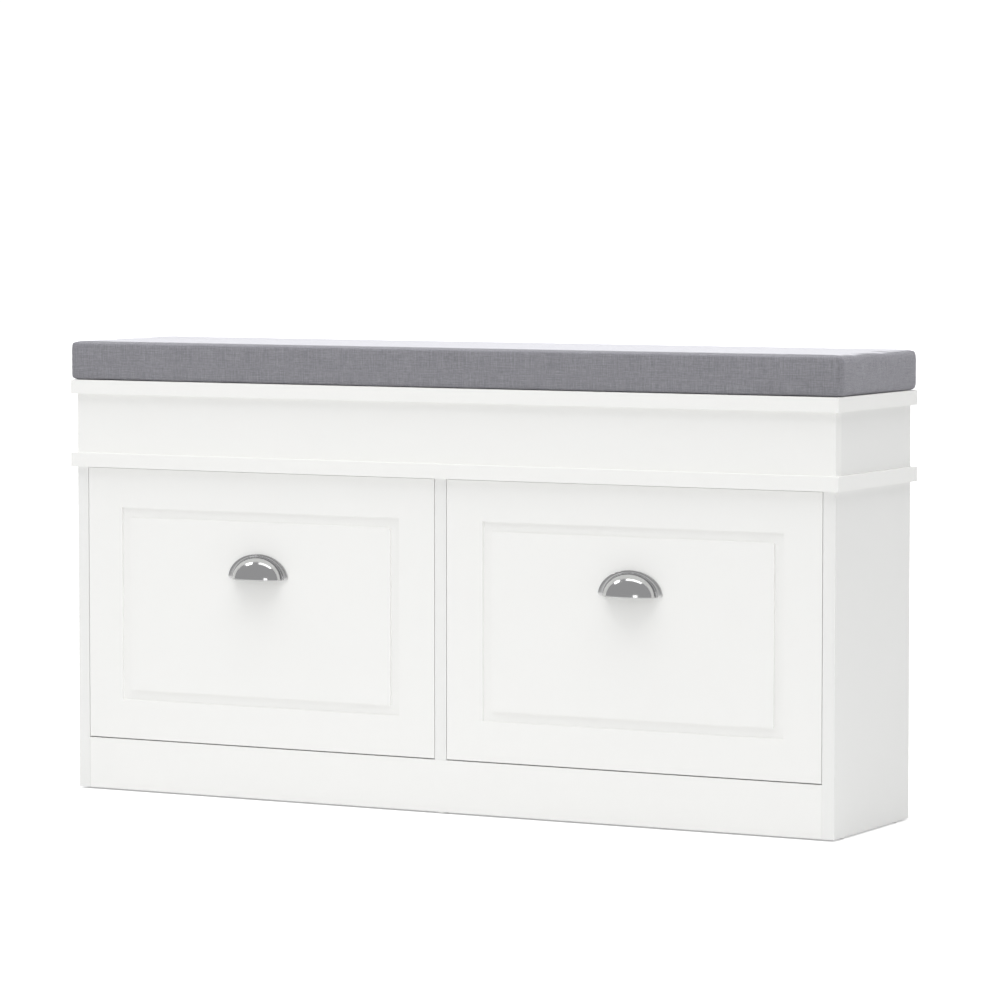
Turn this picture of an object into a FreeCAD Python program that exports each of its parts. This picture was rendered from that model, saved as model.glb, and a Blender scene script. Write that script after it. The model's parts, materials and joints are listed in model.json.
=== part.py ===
"""Entryway bench: a shallow two-flap shoe cabinet with a padded seat.

Millimetres. +Z is up, -Y is the front, and the origin is under the middle of the whole bench, on the floor.
Every size is a cell of the sheet "sizes", and each piece is bound to those cells by expressions.
"""
import FreeCAD, Part
import math
import os
import re
import Sketcher

V = FreeCAD.Vector

# Driving sizes. Each one can be changed by itself.
SIZES = {
    # case
    "case_width": 1000, "case_depth": 210, "panel_thick": 15, "overhang": 6, "glide_high": 2,
    "plinth_high": 61, "opening_high": 328, "mid_thick": 17, "frieze_high": 71, "top_thick": 17,
    "back_thick": 3, "rebate_wide": 8, "rib_gap": 0.5, "glide_radius": 6, "glide_inset": 30,
    "block_side": 20, "block_long": 60, "block_inset": 120,
    # fasteners of the case; a share is a part of the whole length
    "dowel_radius": 4, "dowel_long": 24, "dowel_bite": 10, "dowel_inset": 35, "end_bevel": 1,
    "outer_share": 0.12, "inner_share": 0.37, "screw_share": 0.2,
    "cam_radius": 7.5, "cam_deep": 11, "cam_setback": 24, "bolt_radius": 3, "bolt_bite": 9, "bolt_air": 1,
    "cam_inset": 60, "confirmat_radius": 3, "confirmat_head": 5, "confirmat_long": 50, "confirmat_inset": 45,
    "head_high": 3, "screw_radius": 2, "screw_head": 3.8, "screw_head_high": 2.4, "frieze_screw_long": 42,
    "nail_radius": 0.8, "nail_head": 2.2, "nail_head_high": 0.6, "nail_long": 18, "nail_inset": 25,
    # clearances: round a shank, round a pressed part, and past a screw's tip; a tip is a share of its shank
    "hole_slack": 0.1, "press_slack": 0.025, "tip_air": 1, "tip_share": 0.3,
    # flap fronts
    "side_gap": 0.8, "top_gap": 0.8, "swing_clear": 0.2, "front_thick": 16,
    "channel_inset": 47, "channel_wide": 12, "channel_deep": 2.5,
    "pivot_rise": 28, "pin_radius": 2.5, "pin_slack": 0.05, "pin_hold": 22, "pin_reach": 5.5,
    "small_bevel": 0.5, "bush_radius": 5, "bush_long": 6.5, "bush_floor": 0.8,
    # racks behind the fronts
    "cheek_thick": 12, "cheek_gap": 4, "cheek_foot": 8, "fan_clear": 10, "rack_clear": 13,
    "rack_board": 9, "rack_drop": 11, "divider_share": 0.73, "front_pocket": 84,
    "open_angle": 40, "peg_radius": 4, "peg_spigot": 2.5, "peg_slack": 0.4, "peg_angle": 14, "peg_ring": 140,
    "peg_short": 2, "bracket_side": 24, "bracket_wide": 18, "bracket_thick": 2, "bracket_low": 30,
    "bracket_high": 190, "bracket_hole": 15,
    "small_screw_long": 11, "small_screw_radius": 1.6, "small_head": 3, "small_head_high": 1.8,
    "rack_screw_long": 34, "rack_screw_inset": 28,
    # cup pulls
    "pull_drop": 37.2, "flange_half": 41, "flange_high": 30, "flange_thick": 1.6, "pull_reach": 23,
    "dome_half": 33, "shell_thick": 1.8, "boss_radius": 3.5, "boss_spread": 40, "boss_rise": 8,
    "boss_air": 1.5, "pull_bite": 8, "pull_screw_radius": 2, "pull_head": 4, "pull_head_high": 2.4,
    # magnetic catches
    "catch_wide": 46, "catch_deep": 14, "catch_high": 12, "catch_hole": 16, "catch_sink": 6,
    "strike_wide": 38, "strike_high": 13, "strike_thick": 1.2, "catch_air": 0.4,
    # cushion
    "cushion_thick": 46, "cushion_inset": 1, "cover_thick": 1.5, "cover_round": 5, "foam_air": 0.3,
    "tape_long": 120, "tape_wide": 20, "tape_thick": 1.2, "tape_inset": 60, "tape_air": 0.1,
    "zip_long": 420, "zip_high": 7, "zip_thick": 0.8,
}

doc = FreeCAD.newDocument("entryway_bench")
sheet = doc.addObject("Spreadsheet::Sheet", "sizes")
for row, (alias, number) in enumerate(SIZES.items(), start=1):
    sheet.set(f"A{row}", alias)
    sheet.set(f"B{row}", str(number))
    sheet.setAlias(f"B{row}", alias)
doc.recompute()

nodes = []


def bound(text):
    """Turn plain size names into references to the sheet."""
    return re.sub(r"[a-z_]+", lambda word: f"sizes.{word[0]}" if word[0] in SIZES else word[0], str(text))


def number_of(text):
    """Work an expression out from the sheet."""
    return float(sheet.evalExpression(bound(text)))


# Levels and faces of the case, as expressions
FRONT = "((pull_reach - case_depth - overhang) / 2)"
BACK = f"({FRONT} + case_depth)"
LEFT = "(-case_width / 2)"
RIGHT = "(case_width / 2)"
INNER_LEFT = "(panel_thick - case_width / 2)"
INNER_RIGHT = "(case_width / 2 - panel_thick)"
BASE = "glide_high"
PLINTH_TOP = "(glide_high + plinth_high)"
MID = f"({PLINTH_TOP} + opening_high)"
FRIEZE = f"({MID} + mid_thick)"
TOP = f"({FRIEZE} + frieze_high)"
SEAT = f"({TOP} + top_thick)"
PIVOT_Y = f"({FRONT} + front_thick / 2)"
# The gap under a flap lets its lower front corner swing past the plinth
LOW_GAP = "(sqrt((front_thick / 2)^2 + pivot_rise^2) - pivot_rise + swing_clear)"
PIVOT_Z = f"({PLINTH_TOP} + {LOW_GAP} + pivot_rise)"
# A rack fills the case from its pivot back to the back panel, and up to the catch
RACK_REACH = "(case_depth - back_thick - front_thick / 2 - rack_clear)"
FAN = f"(opening_high - {LOW_GAP} - pivot_rise - catch_high - fan_clear)"
RACK_BACK_HIGH = f"(sqrt({FAN}^2 - {RACK_REACH}^2) + cheek_foot - rack_board - rack_drop)"
DIVIDER_HIGH = f"({RACK_BACK_HIGH} * divider_share)"
BEHIND_PLINTH = f"({FRONT} + panel_thick)"
BACK_INNER = f"({BACK} - back_thick)"

# A turn that points a fastener's shank (made along -Z) another way
TURNS = {
    "-Z": FreeCAD.Rotation(),
    "+Z": FreeCAD.Rotation(V(1, 0, 0), 180),
    "+X": FreeCAD.Rotation(V(0, 1, 0), -90),
    "-X": FreeCAD.Rotation(V(0, 1, 0), 90),
    "+Y": FreeCAD.Rotation(V(1, 0, 0), 90),
    "-Y": FreeCAD.Rotation(V(1, 0, 0), -90),
}
# Face to drill from: origin plane, which sketch axes it has, and whether the pocket runs with the normal
FACES = {
    "top": ("XY_Plane", (0, 1), 2, 1, False),
    "bottom": ("XY_Plane", (0, 1), 2, 0, True),
    "front": ("XZ_Plane", (0, 2), 1, 0, False),
    "back": ("XZ_Plane", (0, 2), 1, -1, True),
    "left": ("YZ_Plane", (1, 2), 0, 0, True),
    "right": ("YZ_Plane", (1, 2), 0, 1, False),
}


def move_to(piece, corner, turn=None):
    """Bind where a piece stands to three expressions."""
    piece.Placement = FreeCAD.Placement(V(), turn or FreeCAD.Rotation())
    for axis, text in zip("xyz", corner):
        piece.setExpression(f"Placement.Base.{axis}", bound(text))


def new_sketch(body, role, shift="0", turn=None):
    """Put an empty sketch on one of the body's own origin planes."""
    sketch = body.newObject("Sketcher::SketchObject", f"{body.Name}_sketch")
    plane = next(item for item in body.Origin.OriginFeatures if item.Role == role)
    sketch.AttachmentSupport = [(plane, "")]
    sketch.MapMode = "FlatFace"
    sketch.AttachmentOffset = FreeCAD.Placement(V(0, 0, number_of(shift)), turn or FreeCAD.Rotation())
    if shift != "0":
        sketch.setExpression("AttachmentOffset.Base.z", bound(shift))
    return sketch


def pin_down(sketch, kind, line, point, text):
    """Hold one coordinate of a point, or one radius, to an expression."""
    if kind == "Radius":
        index = sketch.addConstraint(Sketcher.Constraint(kind, line, number_of(text)))
    else:
        index = sketch.addConstraint(Sketcher.Constraint(kind, line, point, number_of(text)))
    sketch.setExpression(f"Constraints[{index}]", bound(text))


def draw_loop(sketch, points):
    """Draw a closed run of straight lines whose corners are pairs of expressions."""
    first = sketch.GeometryCount
    spots = [V(number_of(across), number_of(up), 0) for across, up in points]
    count = len(points)
    for step in range(count):
        sketch.addGeometry(Part.LineSegment(spots[step], spots[(step + 1) % count]), False)
    for step in range(count):
        sketch.addConstraint(Sketcher.Constraint("Coincident", first + step, 2, first + (step + 1) % count, 1))
    for step, (across, up) in enumerate(points):
        pin_down(sketch, "DistanceX", first + step, 1, across)
        pin_down(sketch, "DistanceY", first + step, 1, up)


def draw_box(sketch, low, high):
    """Draw a rectangle from its lowest to its highest corner."""
    draw_loop(sketch, [low, (high[0], low[1]), high, (low[0], high[1])])


def new_body(label, listed=True):
    """Start a body with a name of its own, and list it as a piece of the bench."""
    body = doc.addObject("PartDesign::Body", label)
    body.Label = label
    if listed:
        nodes.append(body)
    return body


def pad(body, sketch, length):
    """Give a sketch its thickness."""
    feature = body.newObject("PartDesign::Pad", f"{body.Name}_pad")
    feature.Profile = sketch
    feature.setExpression("Length", bound(length))
    body.Tip = feature
    return feature


def board(label, low, high):
    """A plain board between two corners given as expressions."""
    body = new_body(label)
    size = [f"({end}) - ({start})" for start, end in zip(low, high)]
    sketch = new_sketch(body, "XY_Plane")
    draw_box(sketch, ("0", "0"), (size[0], size[1]))
    pad(body, sketch, size[2])
    move_to(body, low)
    doc.recompute()
    return {"body": body, "low": low, "size": size}


def cut_in(part, face, deep, draw):
    """Pocket what draw() puts in a sketch on one face of a board, and check that wood was removed."""
    body = part["body"]
    plane, across, axis, side, reversed_way = FACES[face]
    shift = {0: "0", 1: part["size"][axis], -1: f"-({part['size'][axis]})"}[side]
    sketch = new_sketch(body, plane, shift)
    draw(sketch, across)
    before = body.Shape.Volume
    feature = body.newObject("PartDesign::Pocket", f"{body.Name}_pocket")
    feature.Profile = sketch
    feature.Reversed = reversed_way
    feature.setExpression("Length", bound(deep))
    body.Tip = feature
    doc.recompute()
    if body.Shape.Volume >= before:
        raise ValueError(f"a pocket in {body.Label} removed nothing")
    return feature


def drill(part, face, spots, radius, deep):
    """Drill round holes at points of the whole bench."""
    def draw(sketch, across):
        for spot in spots:
            line = sketch.GeometryCount
            local = [f"({spot[axis]}) - ({part['low'][axis]})" for axis in across]
            centre = V(number_of(local[0]), number_of(local[1]), 0)
            sketch.addGeometry(Part.Circle(centre, V(0, 0, 1), number_of(radius)), False)
            pin_down(sketch, "Radius", line, 0, radius)
            pin_down(sketch, "DistanceX", line, 3, local[0])
            pin_down(sketch, "DistanceY", line, 3, local[1])
    cut_in(part, face, deep, draw)


def turned(label, outline):
    """A master piece turned about Z from half its outline, not listed by itself."""
    body = new_body(label, listed=False)
    sketch = new_sketch(body, "XZ_Plane")
    draw_loop(sketch, outline)
    feature = body.newObject("PartDesign::Revolution", f"{label}_turn")
    feature.Profile = sketch
    feature.ReferenceAxis = (sketch, ["V_Axis"])
    feature.Angle = 360
    body.Tip = feature
    doc.recompute()
    return body


def headed(label, head, head_high, radius, long):
    """A master screw or nail: its head's seat is at the origin and its shank points along -Z."""
    tip = f"({radius}) * tip_share"
    return turned(label, [("0", head_high), (head, head_high), (head, "0"), (radius, "0"),
                          (radius, f"2 * {radius} - {long}"), (tip, f"-{long}"), ("0", f"-{long}")])


def group(label, master, spots):
    """Copies of a master piece, as separate solids of one node."""
    copies = []
    for index, (way, spot) in enumerate(spots):
        copy = doc.addObject("App::Link", f"{label}_{index}")
        copy.LinkedObject = master
        move_to(copy, spot, TURNS[way])
        copies.append(copy)
    together = doc.addObject("Part::Compound", label)
    together.Label = label
    together.Links = copies
    nodes.append(together)
    return together


# ---------------------------------------------------------------- case boards
def side_panel(side):
    """One side panel: it stands on the floor glides and carries the mid board."""
    low_x, high_x = (LEFT, INNER_LEFT) if side == "left" else (INNER_RIGHT, RIGHT)
    part = board(f"{side}_side_panel", (low_x, FRONT, BASE), (high_x, BACK, MID))

    def rebate(sketch, across):
        """The rebate that takes the back panel, on the inner rear edge."""
        start = "panel_thick - rebate_wide" if side == "left" else "0"
        end = "panel_thick" if side == "left" else "rebate_wide"
        draw_box(sketch, (start, f"{MID} - {BASE} + tip_air"), (end, "-tip_air"))
    cut_in(part, "back", "back_thick", rebate)
    return part


left_panel = side_panel("left")
right_panel = side_panel("right")
partition = board("centre_partition", ("-panel_thick / 2", FRONT, PLINTH_TOP),
                  ("panel_thick / 2", BACK_INNER, MID))
bottom_board = board("bottom_board", (INNER_LEFT, BEHIND_PLINTH, f"{PLINTH_TOP} - panel_thick"),
                     (INNER_RIGHT, BACK_INNER, PLINTH_TOP))
plinth = board("plinth_board", (INNER_LEFT, FRONT, BASE), (INNER_RIGHT, BEHIND_PLINTH, PLINTH_TOP))
REAR_RAIL_Y = f"({BACK_INNER} - panel_thick)"
rear_rail = board("rear_rail", (INNER_LEFT, REAR_RAIL_Y, BASE),
                  (INNER_RIGHT, BACK_INNER, f"{PLINTH_TOP} - panel_thick"))
mid_board = board("mid_board", (f"{LEFT} - overhang", f"{FRONT} - overhang", MID),
                  (f"{RIGHT} + overhang", f"{BACK} + overhang", FRIEZE))
frieze_front = board("frieze_front", (LEFT, FRONT, FRIEZE), (RIGHT, BEHIND_PLINTH, TOP))
frieze_left = board("frieze_left", (LEFT, BEHIND_PLINTH, FRIEZE), (INNER_LEFT, BACK, TOP))
frieze_right = board("frieze_right", (INNER_RIGHT, BEHIND_PLINTH, FRIEZE), (RIGHT, BACK, TOP))
frieze_back = board("frieze_back", (INNER_LEFT, f"{BACK} - panel_thick", FRIEZE), (INNER_RIGHT, BACK, TOP))
frieze_rib = board("frieze_rib", ("-panel_thick / 2", f"{BEHIND_PLINTH} + rib_gap", FRIEZE),
                   ("panel_thick / 2", f"{BACK} - panel_thick - rib_gap", TOP))
top_board = board("top_board", (f"{LEFT} - overhang", f"{FRONT} - overhang", TOP),
                  (f"{RIGHT} + overhang", f"{BACK} + overhang", SEAT))
BACK_LOW = f"({PLINTH_TOP} - panel_thick)"
left_back = board("left_back_panel", (f"{INNER_LEFT} - rebate_wide + rib_gap", BACK_INNER, BACK_LOW),
                  ("-rib_gap", BACK, f"{MID} - rib_gap"))
right_back = board("right_back_panel", ("rib_gap", BACK_INNER, BACK_LOW),
                   (f"{INNER_RIGHT} + rebate_wide - rib_gap", BACK, f"{MID} - rib_gap"))

# ---------------------------------------------------------------- dowels
DOWEL_END = "dowel_radius - end_bevel"
dowel = turned("dowel_master", [("0", "dowel_long / 2"), (DOWEL_END, "dowel_long / 2"),
                                ("dowel_radius", "dowel_long / 2 - end_bevel"),
                                ("dowel_radius", "end_bevel - dowel_long / 2"),
                                (DOWEL_END, "-dowel_long / 2"), ("0", "-dowel_long / 2")])
DOWEL_HOLE = "dowel_radius + hole_slack"
BITE = "dowel_bite + hole_slack"
REST = "dowel_long - dowel_bite + hole_slack"
DOWEL_RISE = "(dowel_long / 2 - dowel_bite)"
dowel_spots = []
BOTTOM_MIDDLE = f"({PLINTH_TOP} - panel_thick / 2)"
base_rows = [f"({BEHIND_PLINTH} + dowel_inset)", f"({BACK_INNER} - dowel_inset)"]
for y in base_rows:
    drill(left_panel, "right", [("0", y, BOTTOM_MIDDLE)], DOWEL_HOLE, BITE)
    drill(right_panel, "left", [("0", y, BOTTOM_MIDDLE)], DOWEL_HOLE, BITE)
    dowel_spots.append(("+X", (f"{INNER_LEFT} + {DOWEL_RISE}", y, BOTTOM_MIDDLE)))
    dowel_spots.append(("+X", (f"{INNER_RIGHT} - {DOWEL_RISE}", y, BOTTOM_MIDDLE)))
drill(bottom_board, "left", [("0", y, BOTTOM_MIDDLE) for y in base_rows], DOWEL_HOLE, REST)
drill(bottom_board, "right", [("0", y, BOTTOM_MIDDLE) for y in base_rows], DOWEL_HOLE, REST)
drill(bottom_board, "top", [("0", y, "0") for y in base_rows], DOWEL_HOLE, BITE)
drill(partition, "bottom", [("0", y, "0") for y in base_rows], DOWEL_HOLE, REST)
dowel_spots += [("+Z", ("0", y, f"{PLINTH_TOP} + {DOWEL_RISE}")) for y in base_rows]

# The top board sits on dowels that stand in the frieze boards
LONG_ROWS = [f"({LEFT} + case_width * ({share}))"
             for share in ("outer_share", "inner_share", "1 - inner_share", "1 - outer_share")]
FRIEZE_MIDDLE_Y = f"({FRONT} + panel_thick / 2)"
BACK_MIDDLE_Y = f"({BACK} - panel_thick / 2)"
SIDE_MIDDLE_Y = f"({FRONT} + case_depth / 2)"
SIDE_MIDDLE_X = "(case_width / 2 - panel_thick / 2)"
front_row = [(x, FRIEZE_MIDDLE_Y, "0") for x in LONG_ROWS]
back_row = [(x, BACK_MIDDLE_Y, "0") for x in LONG_ROWS]
left_row = [(f"-{SIDE_MIDDLE_X}", SIDE_MIDDLE_Y, "0")]
right_row = [(SIDE_MIDDLE_X, SIDE_MIDDLE_Y, "0")]
for part, row in ((frieze_front, front_row), (frieze_back, back_row),
                  (frieze_left, left_row), (frieze_right, right_row)):
    drill(part, "top", row, DOWEL_HOLE, REST)
    drill(top_board, "bottom", row, DOWEL_HOLE, BITE)
    dowel_spots += [("+Z", (x, y, f"{TOP} - {DOWEL_RISE}")) for x, y, _ in row]
group("wood_dowels", dowel, dowel_spots)

# ---------------------------------------------------------------- cams between side panels and bottom board
cam = turned("cam_master", [("0", "0"), ("cam_radius", "0"), ("cam_radius", "-cam_deep"), ("0", "-cam_deep")])
BOLT_TIP = "cam_radius - cam_setback + bolt_air"
bolt = turned("bolt_master", [("0", "bolt_bite"), ("bolt_radius", "bolt_bite"),
                              ("bolt_radius", BOLT_TIP), ("0", BOLT_TIP)])
CAM_Y = f"({BACK_INNER} - cam_inset)"
CAM_FRONT_Y = f"({BEHIND_PLINTH} + cam_inset)"
CAM_LOW = f"({PLINTH_TOP} - panel_thick)"
cam_spots = []
bolt_spots = []
for y in (CAM_FRONT_Y, CAM_Y):
    for edge, face, panel, sign, way in ((INNER_LEFT, "left", left_panel, "+", "+X"),
                                         (INNER_RIGHT, "right", right_panel, "-", "-X")):
        cam_x = f"({edge} {sign} cam_setback)"
        drill(bottom_board, "bottom", [(cam_x, y, "0")], "cam_radius + hole_slack", "cam_deep + hole_slack")
        bolt_hole = "bolt_radius + hole_slack"
        drill(bottom_board, face, [("0", y, BOTTOM_MIDDLE)], bolt_hole, "cam_setback - cam_radius")
        inner = "right" if face == "left" else "left"
        drill(panel, inner, [("0", y, BOTTOM_MIDDLE)], bolt_hole, "bolt_bite + hole_slack")
        cam_spots.append(("+Z", (cam_x, y, CAM_LOW)))
        bolt_spots.append((way, (edge, y, BOTTOM_MIDDLE)))
group("cam_locks", cam, cam_spots)
group("cam_bolts", bolt, bolt_spots)

# ---------------------------------------------------------------- screws through the mid board
confirmat = headed("confirmat_master", "confirmat_head", "head_high", "confirmat_radius", "confirmat_long")
CONFIRMAT_HOLE = "confirmat_radius + hole_slack"
screw_rows = [f"({FRONT} + confirmat_inset)", f"({BACK_INNER} - confirmat_inset)"]
confirmat_spots = []
for part, x in ((left_panel, f"-{SIDE_MIDDLE_X}"), (partition, "0"), (right_panel, SIDE_MIDDLE_X)):
    spots = [(x, y, "0") for y in screw_rows]
    drill(part, "top", spots, CONFIRMAT_HOLE, "confirmat_long - mid_thick + head_high + tip_air")
    drill(mid_board, "top", spots, CONFIRMAT_HOLE, "mid_thick")
    drill(mid_board, "top", spots, "confirmat_head + hole_slack", "head_high")
    confirmat_spots += [("-Z", (x, y, f"{FRIEZE} - head_high")) for x, y, _ in spots]
group("mid_board_screws", confirmat, confirmat_spots)

# Screws from below hold the frieze box on the mid board
frieze_screw = headed("frieze_screw_master", "screw_head", "screw_head_high", "screw_radius",
                      "frieze_screw_long")
frieze_screw_spots = []
SHORT_ROWS = [f"({LEFT} + case_width * ({share}))" for share in ("screw_share", "1 - screw_share")]
FRIEZE_BITE = "frieze_screw_long + screw_head_high - mid_thick + tip_air"
for part, row in ((frieze_front, [(x, FRIEZE_MIDDLE_Y, "0") for x in SHORT_ROWS]),
                  (frieze_back, [(x, BACK_MIDDLE_Y, "0") for x in SHORT_ROWS]),
                  (frieze_rib, [("0", SIDE_MIDDLE_Y, "0")])):
    drill(part, "bottom", row, "screw_radius + hole_slack", FRIEZE_BITE)
    drill(mid_board, "bottom", row, "screw_radius + hole_slack", "mid_thick")
    drill(mid_board, "bottom", row, "screw_head + hole_slack", "screw_head_high")
    frieze_screw_spots += [("+Z", (x, y, f"{MID} + screw_head_high")) for x, y, _ in row]
group("frieze_screws", frieze_screw, frieze_screw_spots)

# ---------------------------------------------------------------- glue blocks, back nails and glides
def glue_block(label):
    """A three-sided block glued in the corner behind the plinth, made along X."""
    body = new_body(label, listed=False)
    sketch = new_sketch(body, "YZ_Plane")
    draw_loop(sketch, [("0", "0"), ("block_side", "0"), ("0", "-block_side")])
    pad(body, sketch, "block_long")
    doc.recompute()
    return body


block = glue_block("block_master")
block_rows = [f"({INNER_LEFT} + block_inset)", "(-block_long / 2)",
              f"({INNER_RIGHT} - block_inset - block_long)"]
group("plinth_blocks", block, [("-Z", (x, BEHIND_PLINTH, CAM_LOW)) for x in block_rows])

nail = headed("nail_master", "nail_head", "nail_head_high", "nail_radius", "nail_long")
NAIL_HOLE = "nail_radius + press_slack"
nail_spots = []
NAIL_STEPS = 3
nail_levels = [f"({PLINTH_TOP} + nail_inset + (opening_high - 2 * nail_inset) * {step} / {NAIL_STEPS})"
               for step in range(NAIL_STEPS + 1)]
LEFT_NAIL_X = f"({INNER_LEFT} - rebate_wide / 2)"
RIGHT_NAIL_X = f"({INNER_RIGHT} + rebate_wide / 2)"
for back, panel, edge_x, middle_x in ((left_back, left_panel, LEFT_NAIL_X, "(-panel_thick / 4)"),
                                      (right_back, right_panel, RIGHT_NAIL_X, "(panel_thick / 4)")):
    low_row = [f"({edge_x} + ({middle_x} - ({edge_x})) * {step} / {NAIL_STEPS + 1})"
               for step in range(1, NAIL_STEPS + 1)]
    low_spots = [(x, "0", BOTTOM_MIDDLE) for x in low_row]
    edge_spots = [(edge_x, "0", z) for z in nail_levels]
    middle_spots = [(middle_x, "0", z) for z in nail_levels]
    drill(back, "back", low_spots + edge_spots + middle_spots, NAIL_HOLE, "back_thick")
    deep = "nail_long - back_thick + hole_slack"
    drill(panel, "back", edge_spots, NAIL_HOLE, "nail_long + hole_slack")
    drill(partition, "back", middle_spots, NAIL_HOLE, deep)
    drill(bottom_board, "back", low_spots, NAIL_HOLE, deep)
    nail_spots += [("-Y", (x, BACK, z)) for x, _, z in low_spots + edge_spots + middle_spots]
group("back_panel_nails", nail, nail_spots)

glide = turned("glide_master", [("0", "0"), ("glide_radius", "0"), ("glide_radius", "small_bevel - glide_high"),
                                ("glide_radius - small_bevel", "-glide_high"), ("0", "-glide_high")])
GLIDE_FRONT_Y = f"({FRONT} + panel_thick / 2)"
GLIDE_BACK_Y = f"({BACK_INNER} - panel_thick / 2)"
glide_spots = [(x, y) for x in (f"-{SIDE_MIDDLE_X}", SIDE_MIDDLE_X)
               for y in (f"({FRONT} + glide_inset)", f"({BACK} - glide_inset)")]
glide_spots += [("0", GLIDE_FRONT_Y), ("0", GLIDE_BACK_Y)]
group("foot_glides", glide, [("-Z", (x, y, BASE)) for x, y in glide_spots])

# ---------------------------------------------------------------- what the flaps swing on and stop against
bush = turned("bush_master", [("pin_radius + pin_slack", "0"), ("bush_radius", "0"),
                              ("bush_radius", "-bush_long"), ("0", "-bush_long"), ("0", "bush_floor - bush_long"),
                              ("pin_radius + pin_slack", "bush_floor - bush_long")])
PEG_LONG = "cheek_gap + cheek_thick - peg_short"
peg = turned("peg_master", [("0", PEG_LONG), ("peg_radius - small_bevel", PEG_LONG),
                            ("peg_radius", f"{PEG_LONG} - small_bevel"), ("peg_radius", "0"),
                            ("peg_spigot", "0"), ("peg_spigot", "-bush_long"), ("0", "-bush_long")])
PEG_Y = f"({PIVOT_Y} + peg_ring * sin(peg_angle))"
PEG_Z = f"({PIVOT_Z} + peg_ring * cos(peg_angle))"
BAY_FACES = (("-X", left_panel, "right", INNER_LEFT), ("+X", partition, "left", "(-panel_thick / 2)"),
             ("-X", partition, "right", "(panel_thick / 2)"), ("+X", right_panel, "left", INNER_RIGHT))
bush_spots = []
peg_spots = []
for way, part, face, x in BAY_FACES:
    drill(part, face, [("0", PIVOT_Y, PIVOT_Z)], "bush_radius + press_slack", "bush_long")
    drill(part, face, [("0", PEG_Y, PEG_Z)], "peg_spigot + press_slack", "bush_long + hole_slack")
    bush_spots.append((way, (x, PIVOT_Y, PIVOT_Z)))
    peg_spots.append((way, (x, PEG_Y, PEG_Z)))
group("pivot_bushes", bush, bush_spots)
group("stop_pegs", peg, peg_spots)

CATCH_Y = f"({PIVOT_Y} + front_thick / 2 + strike_thick + catch_air)"
small_screw = headed("small_screw_master", "small_head", "small_head_high", "small_screw_radius",
                     "small_screw_long")
catch_screw_spots = []


def catch(side, middle):
    """A magnetic catch under the mid board, behind the top edge of a flap."""
    part = board(f"{side}_catch", (f"{middle} - catch_wide / 2", CATCH_Y, f"{MID} - catch_high"),
                 (f"{middle} + catch_wide / 2", f"{CATCH_Y} + catch_deep", MID))
    spots = [(f"{middle} {sign} catch_hole", f"({CATCH_Y} + catch_deep / 2)", "0") for sign in "-+"]
    drill(part, "bottom", spots, "small_screw_radius + hole_slack", "catch_high")
    drill(part, "bottom", spots, "small_head + hole_slack", "small_head_high + catch_sink")
    bite = "small_screw_long + small_head_high + catch_sink + tip_air - catch_high"
    drill(mid_board, "bottom", spots, "small_screw_radius + hole_slack", bite)
    for x, y, _ in spots:
        catch_screw_spots.append(("+Z", (x, y, f"({MID} - catch_high + small_head_high + catch_sink)")))


# ---------------------------------------------------------------- the two flaps
def cup_pull_shape():
    """A half-round cup pull: a quarter shell turned about X, on a flat half-oval flange, with two bosses."""
    size = {alias: getattr(sheet, alias) for alias in SIZES}

    def half_oval(half, high):
        """A face in the XZ plane: the upper half of an oval that stands on the X axis."""
        oval = Part.Ellipse(V(half, 0, 0), V(0, 0, high), V())
        arc = Part.ArcOfEllipse(oval, 0, math.pi)
        if arc.value((arc.FirstParameter + arc.LastParameter) / 2).z < 0:
            raise ValueError("the half oval hangs below its base line")
        base_line = Part.LineSegment(arc.EndPoint, arc.StartPoint)
        return Part.Face(Part.Wire([arc.toShape(), base_line.toShape()]))

    def dome(half, reach):
        """A quarter of an egg: its mouth faces down, its flat back stands in the XZ plane."""
        mouth = half_oval(half, reach)
        mouth.rotate(V(), V(1, 0, 0), 90)
        return mouth.revolve(V(), V(-1, 0, 0), 90)

    cavity = dome(size["dome_half"] - size["shell_thick"], size["pull_reach"] - size["shell_thick"])
    holes = []
    for sign in (-1, 1):
        foot = V(sign * size["boss_spread"] / 2, 0, size["boss_rise"])
        # A boss is what stays of the cavity: it runs on into the shell
        cavity = cavity.cut(Part.makeCylinder(size["boss_radius"], size["pull_reach"], foot, V(0, -1, 0)))
        hole_radius = size["pull_screw_radius"] + size["hole_slack"]
        holes.append(Part.makeCylinder(hole_radius, size["pull_bite"] + size["boss_air"], foot, V(0, -1, 0)))
    flange = half_oval(size["flange_half"], size["flange_high"]).extrude(V(0, -size["flange_thick"], 0))
    shell = dome(size["dome_half"], size["pull_reach"]).fuse(flange).cut(cavity)
    for hole in holes:
        shell = shell.cut(hole)
    if len(shell.Solids) != 1:
        raise ValueError("the cup pull is not one solid")
    return shell.Solids[0]


FRONT_LOW = f"({PLINTH_TOP} + {LOW_GAP})"
FRONT_HIGH = f"({MID} - top_gap)"
FRONT_BACK = f"({FRONT} + front_thick)"
PULL_Z = f"({FRONT_HIGH} - channel_inset - channel_wide - pull_drop - flange_high)"
BAY_WIDE = "((case_width - 3 * panel_thick) / 2)"
rack_screw = headed("rack_screw_master", "small_head", "small_head_high", "small_screw_radius",
                    "rack_screw_long")
PULL_SCREW_LONG = "(front_thick + pull_bite)"
pull_screw = headed("pull_screw_master", "pull_head", "pull_head_high", "pull_screw_radius", PULL_SCREW_LONG)
PIN_LONG = "(pin_hold + side_gap + pin_reach)"
pin = turned("pin_master", [("0", "0"), ("pin_radius", "0"), ("pin_radius", f"small_bevel - {PIN_LONG}"),
                            ("pin_radius - small_bevel", f"-{PIN_LONG}"), ("0", f"-{PIN_LONG}")])


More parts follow.
